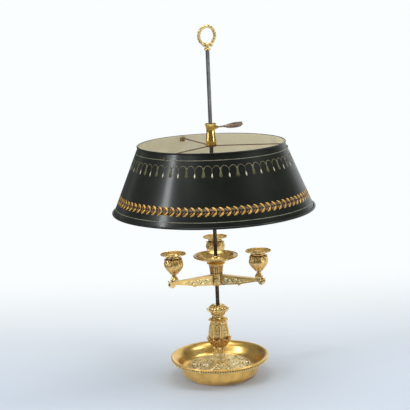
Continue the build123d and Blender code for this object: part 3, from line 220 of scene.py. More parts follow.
def makeFloor(look, glow):
    # a sheet that curves up well behind the lamp, so that a view from behind still stands in front of it
    reach, start, rows, cols = (look[k] for k in ("reach", "bendStart", "rows", "cols"))
    points = []
    for r in range(rows):
        t = r / (rows - 1)
        if t < 0.5:
            y, z = -reach + t / 0.5 * (reach + start), 0.0
        else:
            bend = min((t - 0.5) / 0.3, 1) * math.pi / 2
            y = start + math.sin(bend)
            z = 1 - math.cos(bend) + max(0.0, t - 0.8) / 0.2 * look["rise"]
        points += [(-reach + 2 * reach * c / (cols - 1), y, z - look["drop"]) for c in range(cols)]
    mesh = bpy.data.meshes.new("studioFloor")
    mesh.from_pydata(points, [], gridFaces(rows, cols, False, False).tolist())
    mesh.shade_smooth()
    paint = Paint("floorPaper", Roughness=0.55, Specular_IOR_Level=0.25)
    x, y, z = paint.axes(paint.place())
    camera, mirrored = paint.rays("Camera", "Glossy")
    around = paint.fade((x * x + y * y) ** 0.5, *look["whiteAround"])
    haze = paint.larger(paint.fade(y, *look["haze"]), around)
    far = paint.larger(paint.fade(y, *look["white"]), around)
    paint.use(Base_Color=paint.mix(camera, paint.mix(far, look["near"], look["far"]), look["seen"]))
    # to the left and in front the gilding mirrors a dim glow, a painted reflection of a dark room
    covered = paint.fade(x, *look["leftDarkMirror"]) * paint.fade(y + x * look["frontSlant"], *look["frontDarkMirror"])
    bright, dark = (paint.node("ShaderNodeEmission", sockets={"Color": glow, "Strength": strength})
                    for strength in (1.0, look["roomGlow"]))
    lit = Wire(paint, paint.shader.outputs[0])
    # far off and to the right the gilding mirrors a white glow, a painted reflection
    near = mirrored * paint.larger(far, paint.fade(x, *look["whiteRight"]))
    surface = lit
    for mask, glowing in ((paint.larger(camera * haze, near), bright), (mirrored * (1 - covered), dark)):
        surface = paint.node("ShaderNodeMixShader", sockets={0: mask, 1: surface, 2: glowing})
    paint.feed(paint.tree.nodes["Material Output"].inputs["Surface"], surface)
    mesh.materials.append(paint.material)
    addObject("studioFloor", mesh)


def makeLamps(look):
    for name, azimuth, elevation, distance, width, height, watts in look["panels"]:
        a, e = math.radians(azimuth), math.radians(elevation)
        toward = Vector((math.sin(a) * math.cos(e), -math.cos(a) * math.cos(e), math.sin(e)))
        data = bpy.data.lights.new(name, "AREA")
        data.shape, data.size, data.size_y, data.energy = "ELLIPSE", width, height, watts
        data.color = look["tint"]
        lamp = addObject(name, data)
        lamp.location = Vector(look["target"]) + toward * distance
        lamp.rotation_mode = "QUATERNION"
        lamp.rotation_quaternion = (-toward).to_track_quat("-Z", "Y")


makeWorld(room)
makeFloor(paper, room["seen"])
makeLamps(lamps)
print("studio ready")


# finishes, with their colours from 0 to 255
def gilding(name, tone=(238, 200, 126), deep=(84, 58, 28), rough=(0.24, 0.4), ridges=(255, 232, 172),
            grain=1.0, stain=0.3, marked=True):
    # fire-gilt bronze: ridges paler, burnish and a painted highlight; hollows brown, dirt and painted shade
    paint = Paint(name, Metallic=1.0)
    cloud = paint.noise(55, 4)
    body = paint.mix(paint.fade(cloud, 0.32, 0.68), hue(*tone, 0.9), hue(*tone))
    dirtAndShade = paint.fade(paint.noise(140, 5), 0.54, 0.8) * stain
    if marked:
        cut = paint.node("ShaderNodeAttribute", {"attribute_name": "hollow"}, out="Fac")
        # ridges turn paler, burnish and a painted highlight; grooves turn brown, dirt and painted shade
        body = paint.mix(paint.fade(cut, 0.48, 0.24), body, hue(*ridges))
        dirtAndShade = paint.larger(dirtAndShade, paint.fade(cut, 0.53, 0.8) * 0.95)
    return paint.use(Base_Color=paint.mix(dirtAndShade, body, hue(*deep)),
                     Roughness=paint.fade(cloud, 0.3, 0.7, *rough) + dirtAndShade * 0.3,
                     Normal=paint.bump(paint.noise(900, 2), 0.12 * grain, 0.0004))


def oldSteel(greyAbove=0.52, brownBelow=0.40):
    # grey above, brown and pitted below, changing between the two heights given in metres
    paint = Paint("oldSteel", Metallic=1.0)
    z = paint.axes(paint.place())[2]
    pits = paint.noise(420, 5, 0.6, (1, 1, 0.45))
    cloud = paint.noise(38, 4, 0.6, (1, 1, 0.5))
    bare = paint.mix(paint.fade(cloud, 0.35, 0.65), hue(138, 139, 136), hue(104, 105, 102))
    brown = paint.mix(paint.fade(pits, 0.4, 0.62), hue(92, 84, 76), hue(58, 48, 44))
    rust = paint.fade(paint.noise(150, 5), 0.58, 0.7) * 0.55
    colour = paint.mix(rust, paint.mix(paint.fade(z, greyAbove, brownBelow), bare, brown), hue(70, 50, 38))
    return paint.use(Base_Color=colour, Roughness=0.52 + pits * 0.1 + rust * 0.2,
                     Normal=paint.bump(pits, 0.35, 0.0006))


def agedBrass(name, tone, deep, rough, stain=0.6):
    paint = Paint(name, Metallic=1.0)
    cloud = paint.fade(paint.noise(70, 5), 0.3, 0.7)
    spots = paint.fade(paint.noise(260, 5), 0.5, 0.72) * stain
    colour = paint.mix(spots, paint.mix(cloud, hue(*tone), hue(*tone, 0.82)), hue(*deep))
    return paint.use(Base_Color=colour, Roughness=rough + spots * 0.3,
                     Normal=paint.bump(paint.noise(600, 4), 0.14, 0.0004))


def giltPaint(name, tone, worn, shine=0.45, wear=0.5):
    # gold laid on the japanning with a brush, rubbed thin in places
    paint = Paint(name, Metallic=shine)
    rub = paint.fade(paint.noise(300, 5, 0.65), 0.5, 0.7) * wear
    cloud = paint.fade(paint.noise(60, 4), 0.35, 0.65)
    colour = paint.mix(rub, paint.mix(cloud, hue(*tone), hue(*tone, 0.86)), hue(*worn))
    return paint.use(Base_Color=colour, Roughness=0.42 + rub * 0.2,
                     Normal=paint.bump(paint.noise(500, 3), 0.1, 0.0003))


shadeCone = {"topRadius": 138.6, "bottomRadius": 190.3, "topHeight": 457.2, "height": 124.6, "sheet": 0.8,
             "wornEdge": (332.2, 330.6)}
shadeSlope = (shadeCone["bottomRadius"] - shadeCone["topRadius"]) / shadeCone["height"]


def toleFinish(cone):
    # japanned green-black outside, cream inside, gilt-brown where the rolled edge is worn
    paint = Paint("japannedTole", Coat_Weight=0.25, Coat_Roughness=0.15, Specular_IOR_Level=0.24)
    x, y, z = paint.axes(paint.place())
    radius = (x * x + y * y) ** 0.5
    outside = radius > cone["topRadius"] * mm + (cone["topHeight"] * mm - z) * shadeSlope
    cloud = paint.noise(26, 5)
    fine = paint.noise(230, 5, 0.65)
    dark = paint.mix(paint.fade(cloud, 0.3, 0.7), hue(26, 29, 21), hue(18, 21, 16))
    wear = paint.fade(fine, 0.66, 0.74) * paint.fade(cloud, 0.48, 0.62)
    dark = paint.mix(wear * 0.5, dark, hue(64, 58, 44))
    wornTop, wornEnd = cone["wornEdge"]
    lip = paint.fade(z, wornTop * mm, wornEnd * mm) * (radius > (cone["bottomRadius"] + 0.2) * mm)
    brown = paint.mix(paint.fade(fine, 0.35, 0.6), hue(96, 70, 40), hue(52, 40, 28))
    dark = paint.mix(lip, dark, brown)
    cream = paint.mix(paint.fade(paint.noise(14, 5), 0.35, 0.65), hue(214, 204, 174), hue(203, 191, 158))
    stain = paint.fade(paint.noise(75, 5, 0.6), 0.6, 0.76) * 0.3
    cream = paint.mix(stain, cream, hue(160, 140, 100))
    return paint.use(Base_Color=paint.mix(outside, cream, dark),
                     Roughness=paint.blend(outside, 0.6, 0.3 + fine * 0.1),
                     Normal=paint.bump(fine, 0.06, 0.0006))


finishes = {
    "gilt": gilding("giltBronze", marked=False),
    "dish": gilding("polishedGilt", (252, 206, 120), rough=(0.27, 0.31), grain=0.3, stain=0.12, marked=False),
    "plain": gilding("satinGilt", (212, 176, 110), (110, 78, 40), (0.22, 0.32), marked=False),
    # a dark copy of the gilding for the wreath's core between the leaf bundles: painted shade
    "core": gilding("shadedCoreGilt", (120, 88, 48), (60, 42, 24), (0.4, 0.5), marked=False),
    "burnished": gilding("burnishedGilt", rough=(0.14, 0.26), grain=0.6),
    "chased": gilding("chasedGilt", (230, 188, 110), (88, 60, 28)),
    # a paler copy of the gilding: painted highlight on the medallion, lower stem, hub rosettes and arm foliage
    "bright": gilding("brightGilt", (255, 226, 152), (132, 92, 44), (0.26, 0.36), (255, 242, 200)),
    "soft": gilding("softGilt", (226, 184, 110), (92, 62, 30), (0.3, 0.42), (238, 206, 144)),
    "milled": gilding("milledGilt", (252, 220, 148), (48, 30, 12), (0.3, 0.4), (255, 234, 168)),
    "olive": gilding("oliveGilt", (190, 160, 100), (72, 54, 30), (0.28, 0.42), (238, 212, 150)),
    # a darker copy of the gilding: painted shade on the leaf cup and the hub cup
    "shaded": gilding("shadedGilt", (186, 142, 84), (66, 40, 24), (0.3, 0.46), (232, 196, 132)),
    "steel": oldSteel(),
    "brass": agedBrass("brownBrass", (142, 112, 76), (78, 58, 38), 0.36),
    "feather": agedBrass("featherBrass", (150, 132, 116), (100, 70, 56), 0.34),
    "sleeve": agedBrass("brightBrass", (226, 188, 108), (110, 76, 34), 0.14, 0.35),
    "wire": agedBrass("ironWire", (86, 70, 50), (44, 34, 26), 0.5),
    "tole": toleFinish(shadeCone),
    "paintLine": giltPaint("giltLine", (132, 128, 108), (76, 72, 58), 0.2, 0.7),
    "paintLeaf": giltPaint("giltLeaf", (222, 172, 84), (156, 104, 40), 0.3),
    "paintHeart": giltPaint("giltHeart", (158, 100, 30), (96, 60, 20), 0.15),
    "paintShadow": giltPaint("umberGround", (46, 36, 22), (32, 28, 20), 0.1, 0.7),
    "paintDrop": giltPaint("paleDrop", (206, 190, 166), (170, 150, 120), 0.1, 0.3),
    "paintSwag": giltPaint("oliveSwag", (106, 100, 70), (60, 54, 38), 0.15, 0.8),
    "paintTassel": giltPaint("dimTassel", (100, 96, 62), (56, 54, 36), 0.1, 0.8),
}
finishOfNodes = {
    "dish": ("base_dish", "hub_collar"),
    "plain": ("centre_pan",),
    "steel": ("rod", "rod_washer", "rod_nut", "arm_pins", "socket_studs", "hub_blade", "pressure_shoe"),
    "tole": ("shade_cone",),
    "wire": ("bottom_wire", "top_wire"),
    "brass": ("spider_hub", "spoke_1", "spoke_2", "spoke_3", "spoke_rivets", "key_screw", "key_leaf"),
    "sleeve": ("carrier_sleeve", "key_boss", "guide_bush"),
}
nodeFinish = {node: finish for finish, group in finishOfNodes.items() for node in group}
for name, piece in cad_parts.items():
    piece.data.materials.clear()
    piece.data.materials.append(finishes[nodeFinish.get(name, "gilt")])
print("finishes made")


# mesh making: all lines and outlines from here on are in millimetres
def curveThrough(knots, count):
    # evenly spaced points on a smooth line through a few knots
    knots = np.asarray(knots, float)
    ends = np.vstack((2 * knots[0] - knots[1], knots, 2 * knots[-1] - knots[-2]))
    t = np.linspace(0, 1, 24, endpoint=False)[:, None]
    runs = []
    for a, b, c, d in zip(ends, ends[1:], ends[2:], ends[3:]):
        bend, twist = 2 * a - 5 * b + 4 * c - d, 3 * b - a - 3 * c + d
        runs.append(0.5 * (2 * b + (c - a) * t + bend * t**2 + twist * t**3))
    fine = np.vstack(runs + [knots[-1:]])
    travel = np.concatenate(([0], np.cumsum(np.linalg.norm(np.diff(fine, axis=0), axis=1))))
    even = np.linspace(0, travel[-1], count)
    return np.stack([np.interp(even, travel, fine[:, k]) for k in range(fine.shape[1])], axis=1)


def unit(vectors):
    return vectors / np.maximum(np.linalg.norm(vectors, axis=1), 1e-9)[:, None]


def neighbourMean(values, edges, count):
    total = np.zeros_like(values)
    for a, b in ((0, 1), (1, 0)):
        for k in range(values.shape[1]):
            total[:, k] += np.bincount(edges[:, a], values[edges[:, b], k], count)
    links = np.bincount(edges.ravel(), minlength=count)
    return total / np.maximum(links, 1)[:, None]


def markHollows(mesh, depth=0.3, passes=8):
    # grooves come out near 1, flats at a half and ridges near 0, for dirt and painted shade, burnish and
    # painted highlight
    count = len(mesh.vertices)
    points, normals = np.zeros(count * 3), np.zeros(count * 3)
    edges = np.zeros(len(mesh.edges) * 2, int)
    mesh.vertices.foreach_get("co", points)
    mesh.vertices.foreach_get("normal", normals)
    mesh.edges.foreach_get("vertices", edges)
    points, normals, edges = points.reshape(-1, 3), normals.reshape(-1, 3), edges.reshape(-1, 2)
    smooth = points
    for _ in range(passes):
        smooth = neighbourMean(smooth, edges, count)
    sunk = np.einsum("ij,ij->i", smooth - points, normals) / (depth * mm)
    setHollows(mesh, np.clip(0.5 + 0.5 * sunk, 0, 1))


def setHollows(mesh, values):
    # the attribute that the gilding reads
    layer = mesh.attributes.new("hollow", "FLOAT", "POINT")
    layer.data.foreach_set("value", values)


class Casting:
    # gathers closed forms that were cast in one piece
    def __init__(self):
        self.points, self.faces, self.total = [], [], 0

    def add(self, points, faces, move=None):
        if move is not None:
            move = np.array(move)
            points = points @ move[:3, :3].T + move[:3, 3]
        self.points.append(points)
        self.faces += [tuple(int(i) + self.total for i in f) for f in faces]
        self.total += len(points)
        return self

    def finish(self, name, body, finish, standsFor=(), slot="gilt_bronze", marked=True):
        mesh = bpy.data.meshes.new(name)
        mesh.from_pydata((np.vstack(self.points) * mm).tolist(), [], self.faces)
        work = bmesh.new()
        work.from_mesh(mesh)
        bmesh.ops.recalc_face_normals(work, faces=work.faces)
        work.to_mesh(mesh)
        work.free()
        mesh.shade_smooth()
        if marked:
            markHollows(mesh)
        mesh.materials.append(finishes[finish])
        piece = addObject(name, mesh)
        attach(piece, body)
        if standsFor:
            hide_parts(*standsFor)
        return piece


def ringPoints(angle, radius, height):
    return np.stack((radius * np.cos(angle), radius * np.sin(angle), height + 0 * angle), -1)


def turned(outer, rest, around=240, rows=40, inner=None, innerRows=8, reach=None, lift=None, hand=1, base=0):
    # a turned form about the Z axis: the outer line carries the relief along its normal, reach(angle)
    # shortens it and the inner line towards a leafy rim, and the rest of the section closes it
    angle = (np.arange(around) / around * turn)[:, None]
    share = np.linspace(0, 1, rows)[None, :]
    full = reach(angle) if reach else np.ones_like(angle)
    steps = 400
    line, even = curveThrough(outer, steps), np.linspace(0, 1, steps)
    place = share * full
    radius, height = (np.interp(place, even, line[:, k]) for k in (0, 1))
    across, along = np.gradient(line[:, 0]), np.gradient(line[:, 1])
    size = np.hypot(across, along) * hand
    outwards, upwards = np.interp(place, even, along / size), np.interp(place, even, -across / size)
    if lift:
        raised = lift(angle + 0 * share, place, radius, height)
        radius, height = radius + raised * outwards, height + raised * upwards
    if inner is not None:
        back, place = curveThrough(inner, steps), np.linspace(1, 0, innerRows)[None, :] * full
        radius = np.hstack((radius, np.interp(place, even, back[:, 0])))
        height = np.hstack((height, np.interp(place, even, back[:, 1])))
    for r, z in rest:
        radius, height = np.hstack((radius, r + 0 * angle)), np.hstack((height, z + 0 * angle))
    return ringPoints(angle, radius, height + base).reshape(-1, 3), gridFaces(around, radius.shape[1])


def tubeAlong(path, radii, sides=10, flat=1.0, up=(0, 0, 1)):
    # a closed rod along a path, pinched shut at both ends
    path, radii = np.asarray(path, float), np.asarray(radii, float)
    ahead = unit(np.gradient(path, axis=0))
    side = unit(np.cross(ahead, np.asarray(up, float)))
    over = np.cross(side, ahead)
    spin = (np.arange(sides) / sides * turn)[None, :, None]
    section = np.cos(spin) * side[:, None] + flat * np.sin(spin) * over[:, None]
    rings = path[:, None] + radii[:, None, None] * section
    points = np.vstack((rings.reshape(-1, 3), path[:1] - ahead[:1] * radii[0] * 0.6,
                        path[-1:] + ahead[-1:] * radii[-1] * 0.6))
    faces = gridFaces(len(path), sides, closeRows=False).tolist()
    last = (len(path) - 1) * sides
    for s in range(sides):
        faces.append((s, len(points) - 2, (s + 1) % sides))
        faces.append((last + (s + 1) % sides, len(points) - 1, last + s))
    return points, faces


def reliefPlate(rows, cols, place):
    # a closed plate: place(u, v, top) gives its points, u and v from 0 to 1, for its top and its back
    u, v = np.meshgrid(np.linspace(0, 1, cols), np.linspace(0, 1, rows))
    points = np.vstack([place(u, v, top).reshape(-1, 3) for top in (True, False)])
    count = rows * cols
    front = gridFaces(rows, cols, False, False)
    faces = front.tolist() + (front[:, ::-1] + count).tolist()
    grid = np.arange(count).reshape(rows, cols)
    rim = np.concatenate((grid[0], grid[1:, -1], grid[-1, -2::-1], grid[-2:0:-1, 0])).tolist()
    faces += [(a, a + count, b + count, b) for a, b in zip(rim, rim[1:] + rim[:1])]
    return points, faces


def sideways(angle, count, phase=0.0):
    # -1 to 1 across each of a ring's repeats
    step = turn / count
    return ((angle - phase + step / 2) % step) / step * 2 - 1


def ridge(value, centre, width):
    return np.exp(-((value - centre) / width) ** 2)


def beading(angle, count, power):
    return np.abs(np.cos(angle * count / 2)) ** power


def leafForm(along, side, lobes=5, rib=0.3, cut=0.45):
    # height of an acanthus leaf: along runs from its root, 0, to its tip, 1, and side from -1 to 1
    far = np.abs(side)
    run = np.clip(along, 0, 1)
    wave = np.abs(np.sin(math.pi * (run * lobes - 0.7 * far)))
    outline = np.sin(math.pi * run**0.7) ** 0.55 * (0.68 + 0.32 * wave**0.5)
    body = np.clip((outline - far) / 0.22, 0, 1)
    body = body * (2 - body) * ((along > 0) & (along < 1))
    grooves = cut * (1 - wave**0.6) * np.clip(far * 2.2, 0, 1)
    return body * (0.75 + 0.25 * (1 - far) - grooves) + body * rib * ridge(side, 0, 0.09)


def leafRing(count, rise, lobes, phase=0.0, start=0.0, share=1.0):
    # the relief of leaves that stand side by side round a turned form
    return lambda angle, place, radius, height: rise * leafForm(
        start + share * place, sideways(angle, count, phase), lobes)


def leafyRim(count, notch, power, phase=0.0):
    return lambda angle: 1 - notch * np.abs(sideways(angle, count, phase)) ** power


def rosetteForm(x, y, radius, petals):
    far, angle = np.hypot(x, y) / radius, np.arctan2(y, x)
    petal = beading(angle, petals, 1)
    body = np.clip((0.82 + 0.18 * petal - far) / 0.25, 0, 1)
    return body * (0.55 + 0.45 * petal * np.clip(far * 2, 0, 1)) + ridge(far, 0, 0.22)


def scrollForm(x, y, radius, hand=1, turns=1.6):
    # a spiral ridge that winds in to a small boss
    far, angle = np.hypot(x, y) / radius, np.arctan2(y, x) * hand
    coil = (far * turns - angle / turn) % 1
    ring = np.clip(1 - np.abs(coil - 0.5) / 0.3, 0, 1) ** 0.6
    return ring * (far < 1) * (far > 0.2) + ridge(far, 0, 0.17)


def archForm(x, z, half, foot, spring):
    # distance to the edge of a round-headed panel, negative inside it
    return np.where(z > spring, np.hypot(x, z - spring) - half, np.maximum(np.abs(x) - half, foot - z))


def standing(node):
    # the height at which a node starts, and how tall it is
    low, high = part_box(node)
    return low.z / mm, (high.z - low.z) / mm


def spunTo(azimuth, radius=0.0, height=0.0):
    # local X runs outwards at the azimuth, local Z stays up
    return Matrix.Rotation(math.radians(azimuth), 4, "Z") @ Matrix.Translation((radius, 0, height))


def facingOut(azimuth, radius, height):
    # local Z points outwards at the azimuth, local Y up
    return spunTo(azimuth, radius, height) @ Matrix(((0, 0, 1, 0), (1, 0, 0, 0), (0, 1, 0, 0), (0, 0, 0, 1)))


def makeTurned(name, node, finish, outer, bore, top, body="base", **form):
    # a turned form that stands for a node, with the hole that goes through it
    cast = Casting().add(*turned(outer, [(bore, top), (bore, 0)], base=standing(node)[0], **form))
    cast.finish(name, body, finish, standsFor=[node])


# stem castings on the foot
boreR = 2.55  # the hole for the rod's spigot through the stem
sixTurned = -13  # how far the six-sided forms are turned, in degrees


def acrossSide(angle):
    # -1 to 1 across each face of a six-sided form
    return sideways(angle, 6, math.radians(sixTurned + 30))


medallion = {"leaves": 6, "leafStart": 17.5, "leafWidth": 10.5, "leafRise": 2.4, "rosetteRadius": 5.4,
             "scrollRadius": 6.2, "scrollAside": 6.4, "curlRadius": 4.4, "curlAside": 11.5,
             "beads": 96, "border": 4.6}


def makeMedallion(look):
    low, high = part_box("floor_medallion")
    rim, rise = (high.x - low.x) / 2 / mm, (high.z - low.z) / mm
    start, stop = look["leafStart"], rim - look["border"] - 1.0

    def chasing(angle, place, radius, height):
        half = math.pi / look["leaves"]
        spread = sideways(angle, look["leaves"]) * half * radius
        between = sideways(angle, look["leaves"], half) * half * radius
        bloom, scroll, curl = (look[k + "Radius"] for k in ("rosette", "scroll", "curl"))
        forms = [look["leafRise"] * leafForm((radius - start) / (stop - start), spread / look["leafWidth"], 6),
                 1.7 * rosetteForm(between, radius - stop + bloom, bloom, 6),
                 1.5 * leafForm((radius - start) / 17, between / 4.6, 4)]
        for hand in (-1, 1):
            near, far = (between - hand * look[k] for k in ("scrollAside", "curlAside"))
            forms += [1.4 * scrollForm(near, radius - 0.62 * stop, scroll, hand),
                      1.2 * scrollForm(far, radius - stop + curl + 0.2, curl, -hand)]
        inside = (radius < stop + 1.5) & (radius > 15)
        beads = 1.1 * beading(angle, look["beads"], 0.7) * ridge(radius, rim - look["border"] + 1.6, 1.1)
        return np.where(inside, np.maximum.reduce(forms), 0) + beads

    outer = [(rim, 0), (rim, 0.28 * rise), (rim - 1.2, 0.38 * rise), (rim - 3.2, 0.43 * rise),
             (rim - 6.5, 0.44 * rise), (0.55 * rim, 0.685 * rise), (16.6, rise), (10.5, rise)]
    makeTurned("floorMedallion", "floor_medallion", "bright", outer, boreR, rise,
               around=576, rows=96, lift=chasing)


stemLeaves = {"reeds": 12, "skirt": 6, "upper": 6, "skirtTip": 16.4, "skirtHeight": 15.0}


def makeLowerStem(look):
    base, run = standing("lower_stem")
    outer = [(13.0, 0), (13.6, 2), (12.5, 4.3), (10.6, 7), (9.2, 0.5 * run), (8.2, run - 6.5), (9.6, run)]
    reeds = lambda angle, place, radius, height: 0.5 * beading(angle, look["reeds"], 1) - 0.4
    stem = Casting()
    stem.add(*turned(outer, [(boreR, run), (boreR, 0)], around=144, rows=40, lift=reeds, base=base))
    tip, tall = look["skirtTip"], look["skirtHeight"]
    outer = [(8.4, tall), (10.8, 0.84 * tall), (12.2, 0.5 * tall), (14.8, 4.2), (tip + 0.6, 4.2)]
    inner = [(7.6, tall - 1), (9.8, 0.72 * tall), (11.2, 0.36 * tall), (14.2, 3.0), (tip + 0.6, 3.0)]
    stem.add(*turned(outer, [], around=240, rows=32, inner=inner, hand=-1, base=base,
                     reach=leafyRim(look["skirt"], 0.42, 1.8), lift=leafRing(look["skirt"], 1.6, 5)))
    outer = [(9.2, 0.42 * run), (9.6, 0.6 * run), (9.8, 0.8 * run), (12.4, run - 0.6)]
    inner = [(8.4, 0.42 * run), (8.6, 0.6 * run), (8.8, 0.8 * run), (11.6, run - 0.4)]
    half = math.pi / look["upper"]
    stem.add(*turned(outer, [], around=200, rows=26, inner=inner, base=base,
                     reach=leafyRim(look["upper"], 0.3, 2, half), lift=leafRing(look["upper"], 1.3, 4, half)))
    stem.finish("lowerStem", "base", "bright", standsFor=["lower_stem"])


calyx = {"leaves": 12, "rise": 1.5, "notch": 0.3, "tip": 22.4, "floor": 6.5}


def makeCalyx(look):
    run, tip, floor = standing("calyx")[1] - 0.4, look["tip"], look["floor"]
    outer = [(9.6, 0), (0.68 * tip, 0.22 * run), (0.88 * tip, 0.6 * run), (tip - 0.2, 0.9 * run),
             (tip + 0.5, run)]
    inner = [(12.7, floor), (0.82 * tip, 0.62 * run), (tip - 1.6, 0.92 * run), (tip - 0.4, run)]
    leaves = leafRing(look["leaves"], look["rise"], 4, start=0.12, share=0.84)
    relief = lambda angle, place, *where: leaves(angle, place, *where) + 0.3 * ridge(place, 0.05, 0.05)
    makeTurned("leafCup", "calyx", "shaded", outer, boreR, floor, around=432, rows=48, inner=inner,
               reach=leafyRim(look["leaves"], look["notch"], 1.6), lift=relief)


baluster = {"panelHalf": 5.2, "foot": 8.0, "margin": 3.6, "depth": 0.8, "frondPitch": 6.6}


def makeBaluster(look):
    run = standing("baluster")[1]
    flat = math.cos(math.pi / 6)
    corners = [(12.07, 0), (17.6, 0.15), (20.8, 0.34), (20.4, 0.5), (18.7, 0.7), (17.2, 0.86), (16.4, 1)]
    outer = [(r * flat, t * run) for r, t in corners]
    half, foot, archTop = look["panelHalf"], look["foot"], run - look["margin"]

    def panels(angle, place, radius, z):
        off = acrossSide(angle) * math.pi / 6
        shape = np.minimum(radius / np.cos(off), radius / flat * 0.972) - radius
        x, spring = radius * np.tan(off), archTop - half
        toArch = archForm(x, z, half, foot, spring)
        step = (z - foot) / look["frondPitch"] % 1
        filler = np.maximum.reduce([
            1.0 * ridge(x, 0, 0.5) * (z < archTop - 5),
            0.95 * leafForm(step, (np.abs(x) - 1.9 - 0.9 * step) / 2.0, 2),
            1.0 * rosetteForm(x, z - spring - 0.6, 3.6, 6)])
        sunk = look["depth"] * np.clip(-toArch / 1.2, 0, 1)
        band = 0.5 * ridge(z, 4.2, 0.8) + 0.4 * ridge(z, 2.0, 0.6)
        return shape - sunk + 1.2 * ridge(toArch, 1.3, 0.95) + filler * (toArch < -0.5) + band

    makeTurned("panelledBaluster", "baluster", "chased", outer, boreR, run, around=540, rows=110, lift=panels)


neck = {"leaves": 12, "beads": 26}


def makeNeck(look):
    run = standing("neck")[1]
    outer = [(14.8, 0), (16.9, 1.8), (18.4, 4.0), (18.0, 4.8), (15.4, 4.9), (12.6, 6.6), (10.8, 9.0),
             (10.6, 11.2), (11.4, 12.2), (13.4, 12.8), (14.1, 13.8), (13.4, 15.0), (12.2, 15.8), (12.1, run)]

    def chasing(angle, place, radius, up):
        side = sideways(angle, look["leaves"])
        leaf = 1.1 * leafForm((up + 0.5) / 5.2, side, 2, rib=0.4) * (place < 0.32)
        notches = -0.9 * np.abs(side) ** 3 * ridge(up, 4.4, 1.4)
        off = acrossSide(angle)
        waist = np.clip((up - 6.2) / 1.4, 0, 1) * np.clip((12.2 - up) / 0.8, 0, 1)
        facets = (radius * (0.97 / np.cos(off * math.pi / 6) - 1) - 0.7 * (1 - off**4)) * waist
        return leaf + notches + facets + (beading(angle, look["beads"], 0.6) - 0.6) * ridge(up, 13.8, 1.4)

    makeTurned("neckCasting", "neck", "chased", outer, boreR, run, around=416, rows=92, lift=chasing)


petals = {"count": 8, "tip": 21.8, "notch": 0.3}


def makePetalCup(look):
    run, tip = standing("petal_cup")[1] - 0.2, look["tip"]
    outer = [(12.5, 0), (0.74 * tip, 0.14 * run), (0.87 * tip, 0.44 * run), (0.93 * tip, 0.76 * run),
             (tip, run)]
    inner = [(14.4, 3.7), (16.6, 0.68 * run), (17.6, 0.88 * run), (tip - 0.7, run + 0.2)]
    makeTurned("petalCup", "petal_cup", "chased", outer, boreR, 3.6, around=320, rows=30, inner=inner,
               reach=leafyRim(look["count"], look["notch"], 2.6),
               lift=leafRing(look["count"], 0.9, 3, start=0.1, share=0.86))


knob = {"lobes": 14, "radius": 17.2, "depth": 1.9}


def makeKnob(look):
    run, wide = standing("gadroon_knob")[1], look["radius"]
    outer = [(13.0, 0), (0.93 * wide, 0.2 * run), (wide, 0.46 * run), (0.8 * wide, 0.84 * run),
             (10.2, 0.97 * run), (8, run), (6, run)]

    def gadroons(angle, place, radius, height):
        across = sideways(angle + 0.25 * place, look["lobes"])
        return look["depth"] * (np.sqrt(1 - 0.96 * across**2) - 1) * np.clip((radius - 7.6) / 6, 0, 1)

    makeTurned("gadroonKnob", "gadroon_knob", "chased", outer, boreR, run, around=420, rows=44, lift=gadroons)


milling = {"radius": 91.9, "height": 34.9, "bead": 2.8, "beads": 126}


def makeMilledEdge(look):
    # a row of small beads that runs round under the lip of the dish
    wide, bead, beads = look["radius"], look["bead"], look["beads"]
    section = [(wide + bead * math.cos(a), bead * math.sin(a)) for a in np.radians((-120, -80, -40, 0, 40, 75))]
    rounds = lambda angle, place, radius, height: (
        1.5 * np.sqrt(np.clip(2.2 * beading(angle, beads, 1) - 1.2, 0, 1)) - 1.4)
    points, faces = turned(section, [(wide - 3, 0.5)], around=1512, rows=9, lift=rounds, base=look["height"])
    piece = Casting().add(points, faces).finish("milledEdge", "base", "milled", marked=False)
    # the gaps between the beads are painted dark, painted shade, and the beads a little paler, a painted
    # highlight
    gaps = beading(np.arctan2(points[:, 1], points[:, 0]), beads, 1) < 0.6
    setHollows(piece.data, 0.4 + 0.6 * gaps)


makeMedallion(medallion)
makeLowerStem(stemLeaves)
makeCalyx(calyx)
makeBaluster(baluster)
makeNeck(neck)
makePetalCup(petals)
makeKnob(knob)
makeMilledEdge(milling)
print("stem castings made")


# arm cluster
armAzimuths = (90, 210, 330)
hubCup = {"panels": 8, "foot": 11.6, "mouth": 14.2, "bore": 5.45, "panelHalf": 3.3, "panelFoot": 2.6,
          "margin": 2.7}


def makeHubCup(look):
    run, half = standing("hub_cup")[1], look["panelHalf"]
    outer = [(look["foot"] - 0.2, 0), (look["foot"] + 0.3, 2), (look["mouth"] - 0.4, run - 2),
             (look["mouth"], run)]

    def panels(angle, place, radius, z):
        x = sideways(angle, look["panels"]) * math.pi / look["panels"] * radius
        toArch = archForm(x, z, half, look["panelFoot"], run - look["margin"] - half)
        fan = 0.7 * leafForm((z - 3) / (run - 6.5), x / 2.6, 4) * (toArch < 0)
        rims = 0.45 * ridge(z, 1.2, 0.8) + 0.45 * ridge(z, run - 1.1, 0.8)
        return -0.8 * np.clip(-toArch / 0.6, 0, 1) + 0.3 * ridge(toArch, 0.7, 0.5) + fan + rims

    makeTurned("panelledHubCup", "hub_cup", "shaded", outer, look["bore"], run, "arm_cluster",
               around=320, rows=48, lift=panels)


flowerNut = {"petals": 8, "radius": 10.8, "bore": 5.5}


def makeFlowerNut(look):
    run, wide = standing("flower_nut")[1], look["radius"]
    outer = [(wide - 1.4, 0), (wide, 0.22 * run), (wide - 1.4, 0.46 * run), (8.2, 0.6 * run),
             (7.3, 0.86 * run), (6.6, run), (5.9, run)]

    def petalled(angle, place, radius, height):
        side = sideways(angle, look["petals"])
        gaps = -2.2 * np.abs(side) ** 2.4 * np.clip((radius - 6.5) / 3, 0, 1)
        return gaps + 0.5 * ridge(side, 0, 0.2) * (place < 0.6)

    makeTurned("flowerNut", "flower_nut", "burnished", outer, look["bore"], run, "arm_cluster",
               around=240, rows=32, lift=petalled)


rosettes = {"azimuths": (270, 150), "radius": 5.6, "hubRadius": 12.0, "height": 190.5, "sunk": 1.6}


